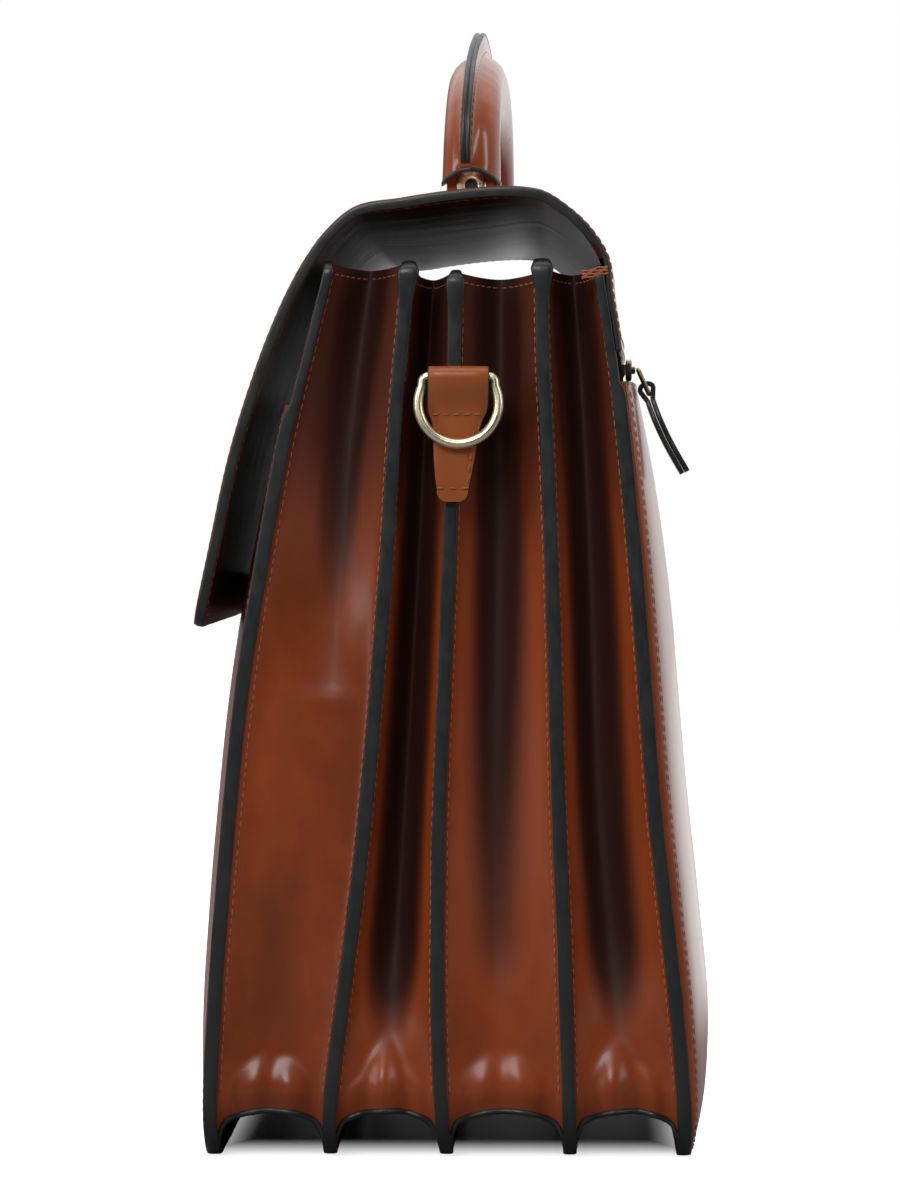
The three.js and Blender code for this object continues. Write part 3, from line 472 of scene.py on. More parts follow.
def make_wear_group():
    """Rubbed metal: a slightly changing colour and roughness with fine scratches as height."""
    inputs = [
        ("Bright", "NodeSocketColor", (0.8, 0.7, 0.4, 1)),
        ("Dull", "NodeSocketColor", (0.4, 0.3, 0.15, 1)),
        ("Gloss", "NodeSocketFloat", 0.2),
    ]
    outputs = [("Color", "NodeSocketColor"), ("Roughness", "NodeSocketFloat"), ("Height", "NodeSocketFloat")]
    tree, given, made = group("satchel metal", inputs, outputs)
    cloud = scaled_noise(tree, (-500, 200), (1, 1, 1), 160.0, 3, 0.6)
    scratch = scaled_noise(tree, (-500, -200), (1, 0.15, 1), 1500.0, 2, 0.6)
    amount = range_node(tree, (-200, 200), cloud, 0.42, 0.72, 0.0, 1.0)
    tree.links.new(mix_colour(tree, (100, 200), amount, given.outputs["Bright"], given.outputs["Dull"]), made.inputs["Color"])
    rough = math_node(tree, "MULTIPLY", (100, -100), range_node(tree, (-100, -100), cloud, 0.3, 0.7, 0.8, 1.35), given.outputs["Gloss"])
    tree.links.new(rough, made.inputs["Roughness"])
    tree.links.new(scratch, made.inputs["Height"])
    return tree


def make_relief_group():
    """Thick paint or thread: lumps and fine fibres as height, with a little change of roughness."""
    inputs = [("Lumps", "NodeSocketFloat", 1.0), ("Gloss", "NodeSocketFloat", 0.4)]
    tree, given, made = group(
        "satchel relief", inputs, [("Height", "NodeSocketFloat"), ("Roughness", "NodeSocketFloat")]
    )
    lumps = scaled_noise(tree, (-500, 200), (1, 1, 0.5), 260.0, 3, 0.55)
    fine = scaled_noise(tree, (-500, -100), (1, 1, 1), 1600.0, 2, 0.5)
    height = math_node(tree, "ADD", (0, 100), math_node(tree, "MULTIPLY", (-200, 200), lumps, given.outputs["Lumps"]), math_node(tree, "MULTIPLY", (-200, -100), fine, 0.12))
    tree.links.new(height, made.inputs["Height"])
    rough = math_node(tree, "MULTIPLY", (0, -200), range_node(tree, (-200, -300), lumps, 0.3, 0.7, 0.85, 1.2), given.outputs["Gloss"])
    tree.links.new(rough, made.inputs["Roughness"])
    return tree


def surface(name, bump=0.2, reach=0.4 * MM, **values):
    """A material with a Principled shader and a bump: returns the material, its tree, shader and bump."""
    made = bpy.data.materials.new(name)
    made.use_nodes = True
    tree = made.node_tree
    shader = tree.nodes["Principled BSDF"]
    for key, value in values.items():
        shader.inputs[key.replace("_", " ")].default_value = value
    relief = tree_node(tree, "ShaderNodeBump", (-200, -300), {"Strength": bump, "Distance": reach})
    tree.links.new(relief.outputs["Normal"], shader.inputs["Normal"])
    materials[name] = made
    return made, tree, shader, relief


def use_group(tree, source, place, values=None):
    made = tree_node(tree, "ShaderNodeGroup", place, node_tree=source)
    for key, value in (values or {}).items():
        made.inputs[key].default_value = value
    return made


grain = make_grain_group()
tone = make_tone_group()
wear = make_wear_group()
relief_group = make_relief_group()


def leather(name, light, deep, gloss, creases=1.0, pebbles=1.0, bump=0.25, coat=0.35, coat_roughness=0.14):
    made, tree, shader, relief = surface(
        name, bump, 0.5 * MM, Coat_Roughness=coat_roughness, Specular_IOR_Level=0.32
    )
    values = {"Light": (*light, 1), "Deep": (*deep, 1), "Gloss": gloss, "Coat": coat}
    shading = use_group(tree, tone, (-600, 200), values)
    height = use_group(tree, grain, (-600, -300), {"Pebbles": pebbles, "Creases": creases})
    tree.links.new(shading.outputs["Color"], shader.inputs["Base Color"])
    tree.links.new(shading.outputs["Roughness"], shader.inputs["Roughness"])
    tree.links.new(shading.outputs["Coat"], shader.inputs["Coat Weight"])
    tree.links.new(height.outputs["Height"], relief.inputs["Height"])
    return made


def metal(name, bright, dull, gloss, bump=0.03):
    made, tree, shader, relief = surface(name, bump, 0.1 * MM, Metallic=1.0)
    shading = use_group(tree, wear, (-600, 0), {"Bright": (*bright, 1), "Dull": (*dull, 1), "Gloss": gloss})
    tree.links.new(shading.outputs["Color"], shader.inputs["Base Color"])
    tree.links.new(shading.outputs["Roughness"], shader.inputs["Roughness"])
    tree.links.new(shading.outputs["Height"], relief.inputs["Height"])
    return made


def lumpy(name, colour, gloss, lumps=1.0, bump=0.3, reach=0.3 * MM, **values):
    made, tree, shader, relief = surface(name, bump, reach, **values)
    shader.inputs["Base Color"].default_value = (*colour, 1)
    shading = use_group(tree, relief_group, (-600, 0), {"Lumps": lumps, "Gloss": gloss})
    tree.links.new(shading.outputs["Roughness"], shader.inputs["Roughness"])
    tree.links.new(shading.outputs["Height"], relief.inputs["Height"])
    return made


def make_lining():
    """Glossy dark lining, black in the middle and browner beside its edges, with soft waves across its depth."""
    made, tree, shader, relief = surface("lining", 0.4, 1.2 * MM, Roughness=0.32, Specular_IOR_Level=0.08)
    waves = scaled_noise(tree, (-700, 0), (0.6, 0.12, 1), 90.0, 3, 0.55)
    height = use_group(tree, grain, (-700, -400), {"Pebbles": 0.5, "Creases": 0.2})
    fine = tree_node(tree, "ShaderNodeBump", (-500, -400), {"Strength": 0.3, "Distance": 0.4 * MM})
    tree.links.new(height.outputs["Height"], fine.inputs["Height"])
    tree.links.new(fine.outputs["Normal"], relief.inputs["Normal"])
    tree.links.new(waves, relief.inputs["Height"])
    where = tree_node(tree, "ShaderNodeTexCoord", (-1200, 300))
    parts = tree_node(tree, "ShaderNodeSeparateXYZ", (-1000, 300))
    tree.links.new(where.outputs["Object"], parts.inputs[0])
    aside = math_node(tree, "ABSOLUTE", (-800, 300), parts.outputs["X"], 0)
    near = range_node(tree, (-600, 300), aside, 0.09, 0.2, 0.0, 1.0)
    blend = mix_colour(tree, (-400, 300), near, (0.004, 0.0035, 0.0035, 1), (0.055, 0.011, 0.005, 1))
    tree.links.new(blend, shader.inputs["Base Color"])


leather("leather", (0.3, 0.06, 0.012), (0.09, 0.016, 0.005), 0.26, coat=0.4, coat_roughness=0.08)
leather("body_leather", (0.26, 0.05, 0.011), (0.1, 0.018, 0.005), 0.32, creases=0.12, pebbles=0.5, coat=0.35, coat_roughness=0.14)
# The gusset leather's very dark deep colour is the painted shade in its folds.
leather("gusset_leather", (0.33, 0.058, 0.011), (0.038, 0.009, 0.006), 0.33, creases=1.2, coat=0.12, coat_roughness=0.16)
leather("tab_leather", (0.35, 0.09, 0.021), (0.17, 0.04, 0.011), 0.36, coat=0.12, coat_roughness=0.2)
leather("inner_leather", (0.05, 0.012, 0.006), (0.025, 0.006, 0.004), 0.55, coat=0.0)
make_lining()
metal("brass", (0.9, 0.82, 0.6), (0.8, 0.69, 0.45), 0.3)
metal("antique_brass", (0.3, 0.24, 0.14), (0.1, 0.08, 0.05), 0.3, bump=0.1)
lumpy("edge_paint", (0.012, 0.013, 0.014), 0.4, lumps=0.8, bump=0.35, reach=0.35 * MM, Coat_Weight=0.1)
lumpy("thread", (0.36, 0.1, 0.03), 0.6, lumps=0.3, bump=0.4, reach=0.1 * MM, Sheen_Weight=0.15)
lumpy("zip_tape", (0.018, 0.012, 0.01), 0.85, lumps=0.2, bump=0.6, reach=0.1 * MM, Sheen_Weight=0.2)


# WALLS AND THEIR PAINTED EDGES


def outline(bottom, top, inset, step=2.2 * MM):
    """A wall's rim as (x, z) points and the way out at each, from the bottom's middle round to it again."""
    radius = CORNER_RADIUS - inset
    start = -math.asin((CORNER_RADIUS - max(bottom, 0) - inset * (bottom <= 0)) / radius) if bottom > 0 else -math.pi / 2
    centre = HALF_WIDTH - CORNER_RADIUS
    right = [(0, bottom + inset, 0, -1)]
    foot = centre + radius * math.cos(start)
    for t in np.linspace(0.05, 0.98, 40):
        right.append((foot * t, bottom + inset, 0, -1))
    for angle in np.linspace(start, 0, 12):
        right.append((centre + radius * math.cos(angle), CORNER_RADIUS + radius * math.sin(angle), math.cos(angle), math.sin(angle)))
    high = top - TOP_CORNER
    for t in np.linspace(0, 1, int((high - CORNER_RADIUS) / step))[1:]:
        right.append((HALF_WIDTH - inset, CORNER_RADIUS + (high - CORNER_RADIUS) * t, 1, 0))
    for angle in np.linspace(0, math.pi / 2, 7)[1:]:
        corner = TOP_CORNER - inset
        right.append((HALF_WIDTH - TOP_CORNER + corner * math.cos(angle), high + corner * math.sin(angle), math.cos(angle), math.sin(angle)))
    for t in np.linspace(0.98, 0, 40):
        right.append(((HALF_WIDTH - TOP_CORNER) * t, top - inset, 0, 1))
    right = np.array(right)
    left = right[-2:0:-1] * np.array([-1, 1, -1, 1])
    return np.concatenate([right, left])


def edge_reach(index, height, inward_top):
    """How far a wall's painted edge reaches to the front and to the back of its middle at one height."""
    front = np.full_like(height, PANEL_WALL / 2)
    back = front.copy()
    below_hem = smooth((wall_top[index] - GUSSET_DROP * 0.4 - height) / (3 * MM)) * inward_top
    if index == 0:
        front = front + (GAP + POCKET_WALL) * smooth((front_pocket_top - height) / (3 * MM))
    else:
        front = front + (GAP + GUSSET_WALL) * below_hem
    if index == len(WALLS) - 1:
        back = back + (GAP + POCKET_WALL) * smooth((back_pocket_top - height) / (3 * MM))
    else:
        back = back + (GAP + GUSSET_WALL) * below_hem
    to_front, to_back, reach = EDGE_FLARES[index]
    down = (wall_top[index] - height) / (reach * MM)
    flare = smooth(1 - down) * inward_top
    return front + to_front * MM * flare, back + to_back * MM * flare


def make_wall(index):
    name = WALLS[index]
    bottom = wall_bottom[index]
    top = wall_top[index]
    heights = np.concatenate([
        bottom + EDGE_INSET + (CORNER_RADIUS - bottom) * np.linspace(0, 1, 9) ** 1.5,
        np.linspace(CORNER_RADIUS, top - EDGE_INSET, 60)[1:],
    ])
    across = np.linspace(-1, 1, 9)
    u, z = np.meshgrid(across, heights, indexing="ij")
    x = u * (half_width(z) - EDGE_INSET - 0.2 * MM)
    faces = []
    for offset in (-PANEL_WALL / 2, PANEL_WALL / 2):
        faces.append(np.stack([x, wall_y[index](z) + offset, z], axis=-1))
    outer = "body_leather" if index in (0, len(WALLS) - 1) else "inner_leather"
    looks = (outer, "inner_leather") if index == 0 else ("inner_leather", outer)
    wall = sheet(f"{name}_leather", faces[0], faces[1], looks)
    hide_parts(name)

    rim = outline(bottom, top, EDGE_INSET)
    x, z, out_x, out_z = rim.T
    gone = np.concatenate([[0], np.cumsum(np.hypot(np.diff(x), np.diff(z)))])
    along = gone / (gone[-1] + np.hypot(x[0] - x[-1], z[0] - z[-1]))
    on_side = smooth((np.abs(x) - (HALF_WIDTH - 3 * TOP_CORNER)) / (2 * TOP_CORNER))
    front, back = edge_reach(index, z, np.where(z > HEIGHT / 2, on_side, 1))
    path = np.stack([x, wall_y[index](z), z], axis=1)
    out = np.stack([out_x, 0 * x, out_z], axis=1)
    side = np.tile([0.0, 1.0, 0.0], (len(x), 1))
    wobble = 0.16 * MM
    top_share = smooth((z - top + 14 * MM) / (10 * MM)) * on_side
    rough = wobble * (1 + 1.6 * top_share)
    painted = bead(
        f"{name}_edge",
        path,
        out,
        side,
        -front - rough * ripple(along, index * 3, (5, 13, 31, 67)),
        back + rough * ripple(along, index * 3 + 1, (4, 11, 29, 71)),
        EDGE_RISE * (1 + 0.25 * ripple(along, index * 3 + 2, (6, 17, 41)) + 0.9 * top_share),
    )


for index in range(len(WALLS)):
    make_wall(index)


# GUSSETS


def arch(side, roundness):
    return np.maximum(1 - np.abs(side) ** roundness, 0) ** (1 / roundness)


def bottom_arch(side):
    """The line of the leather below a compartment: steep beside the walls, a low arch between them."""
    side = np.clip(np.abs(side), 0, 1)
    return BOTTOM_SEAM_HEIGHT + BOTTOM_FLANGE_RISE * (1 - side**16) + BOTTOM_ARCH_RISE * (1 - side**2.2)


def space_between(index, height):
    """The middle and half of a compartment's clear width at one height."""
    low = wall_y[index](height)
    high = wall_y[index + 1](height)
    return (low + high) / 2, (high - low) / 2 - PANEL_WALL / 2 - GAP


def gusset_face(index, u, height):
    """Inward distance of a gusset's outer face from the width line, and its painted fold shade: darker deep in the
    fold, high up and beside the walls.
    """
    plan = GUSSETS[index]
    _, half = space_between(index, height)
    valley = curve(np.array(VALLEY_HEIGHTS) * MM, plan["valley"])(height)
    share = np.where(u < valley, (u + 1) / (valley + 1), (1 - u) / (1 - valley))
    floor = bottom_arch(0)
    rise = smooth((height - floor) / NOSE_HEIGHT)
    depth = np.sqrt(np.maximum(FOLD_HALF_WIDTH**2 - half**2, GUSSET_WALL**2)) * rise
    softness = 0.28 + 0.3 * smooth((95 * MM - height) / (60 * MM))
    apart = (np.sqrt((1 - share) ** 2 + softness**2) - softness) / (np.sqrt(1 + softness**2) - softness)
    fall = (1 - apart) ** 1.28
    curl = NOSE_CURL * np.exp(-((np.maximum(height - bottom_arch(u), 0) / CURL_HEIGHT) ** 1.5)) * arch(u, 2)
    shoulder = SEAM_ALLOWANCE * (1 - np.exp(-share / 0.07))
    inward = shoulder + depth * fall + curl
    for across, start, spread, bulge in plan["noses"]:
        grown = smooth((start - height / MM) / (start - 22))
        wide = spread * (0.55 + 0.45 * grown)
        lobe = np.exp(-(((u - across * (0.6 + 0.4 * grown)) / wide) ** 2)) * arch(u, 3)
        inward = inward - bulge * MM * grown * lobe
    inward = inward + 2.2 * MM * smooth((62 * MM - height) / (30 * MM)) * arch(u, 3)
    # Painted shade, as a colour mask: darker deep in the fold where less light reaches (with some patina), over the
    # upper part where the pleats are deep, and a little beside the walls.
    fold_shade = smooth((depth * fall - 1.5 * MM) / (10 * MM))
    upper = 0.9 * smooth((height - 170 * MM) / (100 * MM)) * (0.6 + 0.4 * arch(u, 3))
    beside = 0.35 * np.abs(u) ** 4
    return inward, np.maximum(fold_shade, np.maximum(upper, beside))


def gusset_columns(valley):
    """Columns across a gusset, close together at its seams and its valley."""
    near = np.array([0, 0.006, 0.015, 0.03, 0.055, 0.09, 0.14, 0.2, 0.28, 0.37, 0.46, 0.56, 0.66, 0.75, 0.83, 0.89, 0.935, 0.965, 0.985, 1])
    left = -1 + (valley + 1) * near
    right = 1 - (1 - valley) * near[-2::-1]
    return np.concatenate([left, right])


def make_side_gusset(index, hand, side_name):
    top = min(wall_top[index], wall_top[index + 1]) - GUSSET_DROP
    rows = np.concatenate([np.linspace(0, 0.16, 34), np.linspace(0.16, 1, 84)[1:]])
    valley_at = curve(np.array(VALLEY_HEIGHTS) * MM, GUSSETS[index]["valley"])
    rough_height = rows * top
    u = np.stack([gusset_columns(v) for v in valley_at(rough_height)], axis=1)
    low = bottom_arch(u) - GUSSET_WALL / 2
    high = top - HEM_SAG * (1 - u**2)
    z = low + (high - low) * rows[None, :]
    inward, fold_shade = gusset_face(index, u, z)
    middle, half = space_between(index, z)
    y = middle + u * half
    x = half_width(z) - EDGE_INSET * 0.4 - inward
    outer = np.stack([x, y, z], axis=-1)
    slope = np.gradient(outer, axis=0)
    normal = unit(np.stack([-slope[..., 1], slope[..., 0], 0 * x], axis=-1))
    normal[0] = (0, -1, 0)
    normal[-1] = (0, 1, 0)
    shrink = GUSSET_WALL * np.ones_like(x)
    shrink[[0, -1]] = 0.1 * MM
    inner = outer + normal * shrink[..., None]
    turn = np.array([hand, 1, 1])
    name = f"gusset_{side_name}_{index + 1}"
    # The painted fold shade goes onto the gusset as a point attribute for its colour.
    made = sheet(f"{name}_leather", outer * turn, inner * turn, ("gusset_leather", "inner_leather"), {"fold_shade": fold_shade}, sharp=70)
    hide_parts(name)

    # Stitches on the leather beside both painted edges, and across the hem
    outward = unit(np.cross(np.gradient(outer, axis=0), np.gradient(outer, axis=1)))
    outward = outward * np.sign(outward[..., :1] + 1e-9)
    for column in (5, u.shape[0] - 6):
        keep = (z[column] > 24 * MM) & (z[column] < top - 6 * MM)
        lift = outward[column][keep] * 0.12 * MM
        stitch((outer[column][keep] + lift) * turn, outward[column][keep] * turn)
    hem = u.shape[1] - 2
    stitch((outer[4:-4, hem] + outward[4:-4, hem] * 0.02 * MM) * turn, outward[4:-4, hem] * turn)

    # The painted cut edge that runs over the arch below
    across = np.linspace(-0.95, 0.95, 41)
    level = bottom_arch(across)
    inward, _ = gusset_face(index, across, level)
    middle, half = space_between(index, level)
    path = np.stack([half_width(level) - inward + 0.3 * MM, middle + across * half, level - 0.6 * MM], axis=1)
    along = unit(np.gradient(path, axis=0))
    out = unit(np.cross(along, np.tile([1.0, 0, 0], (len(across), 1))))
    out = out * np.sign(-out[:, 2:])
    forward = unit(np.cross(out, along))
    forward = forward * np.sign(forward[:, :1])
    angles = np.linspace(0, 2 * np.pi, 13)[:-1]
    thick = 1.05 * MM * (1 + 0.14 * ripple(np.linspace(0, 1, len(across)), index * 7 + 50 + hand, (3, 8, 17)))
    rings = (
        path[:, None]
        + out[:, None] * (np.cos(angles)[None, :, None] * thick[:, None, None])
        + forward[:, None] * (np.sin(angles)[None, :, None] * 1.1 * MM - 0.5 * MM)
    )
    painted = tube(f"{name}_arch_edge", rings * turn, "edge_paint", sharp=60)


def make_bottom_gusset(index):
    across = np.linspace(-1, 1, 33)
    along = np.linspace(-1, 1, 15)
    v, u = np.meshgrid(across, along, indexing="ij")
    level = bottom_arch(v)
    middle, half = space_between(index, level)
    half = half - GUSSET_WALL / 2
    end = half_width(level) - SEAM_ALLOWANCE - NOSE_CURL - GUSSET_WALL / 2 - GAP
    centre = np.stack([u * end, middle + v * half, level], axis=-1)
    slope = np.gradient(centre, axis=0)
    normal = unit(np.stack([0 * u, -slope[..., 2], slope[..., 1]], axis=-1))
    upper = centre + normal * GUSSET_WALL / 2
    lower = centre - normal * GUSSET_WALL / 2
    # Painted shade: the bottom gussets' lower faces get the black lining, dark like the shadowed underside.
    made = sheet(f"bottom_gusset_{index + 1}_leather", lower, upper, ("lining", "inner_leather"))
    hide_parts(f"bottom_gusset_{index + 1}")


for index in range(len(WALLS) - 1):
    for hand, side_name in ((1, "right"), (-1, "left")):
        make_side_gusset(index, hand, side_name)
    make_bottom_gusset(index)


# POCKETS

pocket_share = curve(*zip(*POCKET_SECTIONS))


def pocket_face(index, outward, tall, bulge, u, z):
    """A pocket's inner face in Y: it leaves the front wall slowly past its seam and the back wall at once."""
    seam = POCKET_SEAM if outward < 0 else 0
    inner = np.clip(np.abs(u) * HALF_WIDTH / (HALF_WIDTH - seam), 0, 1)
    middle = (1 - inner**2) ** 0.85 if outward < 0 else arch(inner, 2.3) ** 0.9
    stand = GAP + bulge * pocket_share(z / tall) * middle
    return wall_y[index](z) + outward * (PANEL_WALL / 2 + stand)


def make_pocket(name, index, outward, tall, bulge):
    bottom = 0.5 * MM
    heights = np.concatenate([bottom + (CORNER_RADIUS - bottom) * np.linspace(0, 1, 12) ** 1.4, np.linspace(CORNER_RADIUS, tall, 64)[1:]])
    across = np.sin(np.linspace(-1, 1, 61) * np.pi / 2)
    u, z = np.meshgrid(across, heights, indexing="ij")
    x = u * (half_width(z) - EDGE_INSET - 0.1 * MM)
    inner = pocket_face(index, outward, tall, bulge, u, z)
    faces = [np.stack([x, inner + outward * wall, z], axis=-1) for wall in (POCKET_WALL, 0)]
    made = sheet(f"{name}_leather", faces[0], faces[1], ("body_leather", "inner_leather"))
    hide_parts(name)

    # The painted top edge
    x = np.linspace(-1, 1, 81) * (HALF_WIDTH - 1.5 * MM)
    y = pocket_face(index, outward, tall, bulge, x / HALF_WIDTH, 0 * x + tall)
    path = np.stack([x, y + outward * POCKET_WALL / 2, 0 * x + tall - 0.3 * MM], axis=1)
    side = np.tile([0.0, 1.0, 0.0], (len(x), 1))
    out = np.tile([0.0, 0.0, 1.0], (len(x), 1))
    reach = 0 * x + POCKET_WALL / 2 + 0.2 * MM
    painted = bead(f"{name}_top_edge", path, out, side, -reach, reach, 0 * x + 0.5 * MM, looped=False)

    # Stitches round the outer face, beside its edges and under its top
    rim = outline(0, tall + TOP_CORNER, 3.4 * MM if outward < 0 else 2.4 * MM)
    rim = rim[(rim[:, 1] < tall - 4 * MM)]
    order = np.argsort(np.arctan2(rim[:, 0], tall - rim[:, 1]))
    rim = rim[order]
    x, z = rim[:, 0], rim[:, 1]
    y = pocket_face(index, outward, tall, bulge, x / half_width(z), z) + outward * (POCKET_WALL + 0.12 * MM)
    line = np.stack([x, y, z], axis=1)
    reach = 0.5 * MM
    near = pocket_face(index, outward, tall, bulge, (np.abs(x) - reach) / half_width(z), z)
    far = pocket_face(index, outward, tall, bulge, np.abs(x) / half_width(z), z)
    tilt = (near - far) * outward / reach
    up = unit(np.stack([np.sign(x) * tilt, 0 * x + outward, 0 * x], axis=1))
    stitch(line, up)


make_pocket("front_pocket", 0, -1, front_pocket_top, FRONT_POCKET_BULGE)
make_pocket("back_pocket", len(WALLS) - 1, 1, back_pocket_top, BACK_POCKET_BULGE)


# FLAP

back_top = wall_top[-1]
flap_points = [(depth * BASE_DEPTH + ORIGIN_SHIFT, height * HEIGHT, sag) for depth, height, sag in FLAP_SECTIONS]
rear_bend = len(flap_points) - 1
for height in (back_top + TAIL_RISE, back_top - TAIL_LENGTH * 0.3, back_top - TAIL_LENGTH * 0.65, back_top - TAIL_LENGTH):
    flap_points.append((float(wall_y[-1](min(height, back_top))) + PANEL_WALL / 2 + GAP + FLAP_WALL, height, 0))
flap_points = np.array(flap_points)
flap_gone = np.concatenate([[0], np.cumsum(np.hypot(*np.diff(flap_points[:, :2], axis=0).T))])
flap_curve = curve(flap_gone, flap_points)
flap_length = flap_gone[-1]
lining_end = flap_gone[rear_bend]


def flap_place(x, gone, deep):
    """A point of the flap: x, the distance along its line from the lower edge, and the depth under its face."""
    line = flap_curve(gone)
    reach = 0.4 * MM
    along = flap_curve(np.minimum(gone + reach, flap_length)) - flap_curve(np.maximum(gone - reach, 0))
    along = unit(along[..., :2])
    normal = np.stack([-along[..., 1], along[..., 0]], axis=-1)
    sag = line[..., 2] * FLAP_SAG * (1 - np.clip(np.abs(x) / HALF_WIDTH, 0, 1) ** 4)
    behind = smooth((gone - flap_gone[13]) / (flap_gone[16] - flap_gone[13]))
    belly = TAIL_BELLY * behind * (1 - np.clip(np.abs(x) / HALF_WIDTH, 0, 1) ** 2.5)
    y = line[..., 0] - normal[..., 0] * deep + belly
    place = np.stack([x, y, line[..., 1] - normal[..., 1] * deep - sag], axis=-1)
    way = np.stack([0 * x, normal[..., 0], normal[..., 1]], axis=-1)
    return place, way, np.stack([0 * x, along[..., 0], along[..., 1]], axis=-1)


def flap_half(gone, inset):
    below = np.clip(FLAP_CORNER - gone, 0, FLAP_CORNER)
    return HALF_WIDTH - FLAP_CORNER + np.sqrt(FLAP_CORNER**2 - below**2) - inset


def make_flap_layer(name, start, end, outer, wall, inset, look):
    gone = np.concatenate([start + (FLAP_CORNER - start) * np.linspace(0, 1, 10) ** 1.6, np.linspace(FLAP_CORNER, end, 120)[1:]])
    across = np.sin(np.linspace(-1, 1, 49) * np.pi / 2)
    u, s = np.meshgrid(across, gone, indexing="ij")
    x = u * flap_half(s, inset)
    front, _, _ = flap_place(x, s, 0 * x + outer)
    back, _, _ = flap_place(x, s, 0 * x + outer + wall)
    made = sheet(f"{name}_leather", front, back, look)
    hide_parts(name)
    return made


make_flap_layer("flap", 0.3 * MM, flap_length - 0.3 * MM, 0, FLAP_WALL, EDGE_INSET, ("body_leather", "lining"))
make_flap_layer("flap_lining", 0.8 * MM, flap_gone[rear_bend + 1] - 1 * MM, FLAP_WALL + 0.05 * MM, GAP + LINING_WALL, EDGE_INSET, "lining")


def flap_rim(inset, start, end, step=2 * MM):
    """The flap's rim as (x, gone, out along x, out along the line), from its tail over one side to the other."""
    centre = HALF_WIDTH - FLAP_CORNER
    radius = FLAP_CORNER - inset
    right = [(HALF_WIDTH - inset, s, 1, 0) for s in np.linspace(end, FLAP_CORNER, int((end - FLAP_CORNER) / step))]
    for angle in np.linspace(0, math.pi / 2, 9)[1:]:
        right.append((centre + radius * math.cos(angle), FLAP_CORNER - (FLAP_CORNER - start - inset) * math.sin(angle), math.cos(angle), -math.sin(angle)))
    for t in np.linspace(0.98, 0, 50):
        right.append((centre * t, start + inset, 0, -1))
    right = np.array(right)
    left = right[-2::-1] * np.array([-1, 1, -1, 1])
    return np.concatenate([right, left])


def make_flap_edge():
    rim = flap_rim(EDGE_INSET, 0, flap_length - EDGE_INSET)
    tail = [(x, flap_length - EDGE_INSET, 0, 1) for x in np.linspace(-1, 1, 60)[1:-1] * (HALF_WIDTH - EDGE_INSET)]
    rim = np.concatenate([rim, np.array(tail)])
    x, s, out_x, out_s = rim.T
    path, normal, along = flap_place(x, s, 0 * x)
    out = unit(np.stack([out_x, 0 * x, 0 * x], axis=1) + along * out_s[:, None])
    layered = 1 - smooth((s - lining_end - 2 * MM) / (5 * MM))
    deep = FLAP_WALL + (GAP + LINING_WALL) * layered
    share = np.linspace(0, 1, len(x), endpoint=False)
    rough = 0.12 * MM
    painted = bead(
        "flap_edge",
        path,
        out,
        -normal,
        0 * x + 0.35 * MM + rough * ripple(share, 41, (9, 23, 57)),
        deep + 0.1 * MM + rough * ripple(share, 42, (8, 21, 61)),
        0.6 * MM * (1 + 0.15 * ripple(share, 43, (11, 37))),
    )


make_flap_edge()

for inset, deep, turn in ((4.2 * MM, -0.12 * MM, 1), (4.2 * MM, FLAP_WALL + GAP + LINING_WALL - 0.02 * MM, -1)):
    last = flap_length - 6 * MM if turn == 1 else lining_end - 12 * MM
    x, s, _, _ = flap_rim(inset, 0, last).T
    place, normal, _ = flap_place(x, s, 0 * x + deep)
    stitch(place, normal * turn)
x = np.linspace(-1, 1, 60) * (HALF_WIDTH - 4.5 * MM)
place, normal, _ = flap_place(x, 0 * x + flap_length - 4.5 * MM, 0 * x - 0.12 * MM)
stitch(place, normal)


# HANDLE

handle_y = (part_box("handle_strap_right")[0].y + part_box("handle_strap_right")[1].y) / 2
handle_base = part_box("handle_grip")[0].z


def handle_aside(x):
    """The handle stands slightly askew: its far end lies further back."""
    return 1.5 * MM * (1 - x / (HANDLE_SPAN / 2))


def handle_line(t):
    angle = np.pi * t
    power = 2 / HANDLE_SQUARENESS
    x = HANDLE_SPAN / 2 * np.sign(np.cos(angle)) * np.abs(np.cos(angle)) ** power
    rise = np.abs(np.sin(angle)) ** power
    return np.stack([x, handle_y + handle_aside(x) + 0.8 * MM * rise, handle_base + HANDLE_RISE * rise], axis=-1)


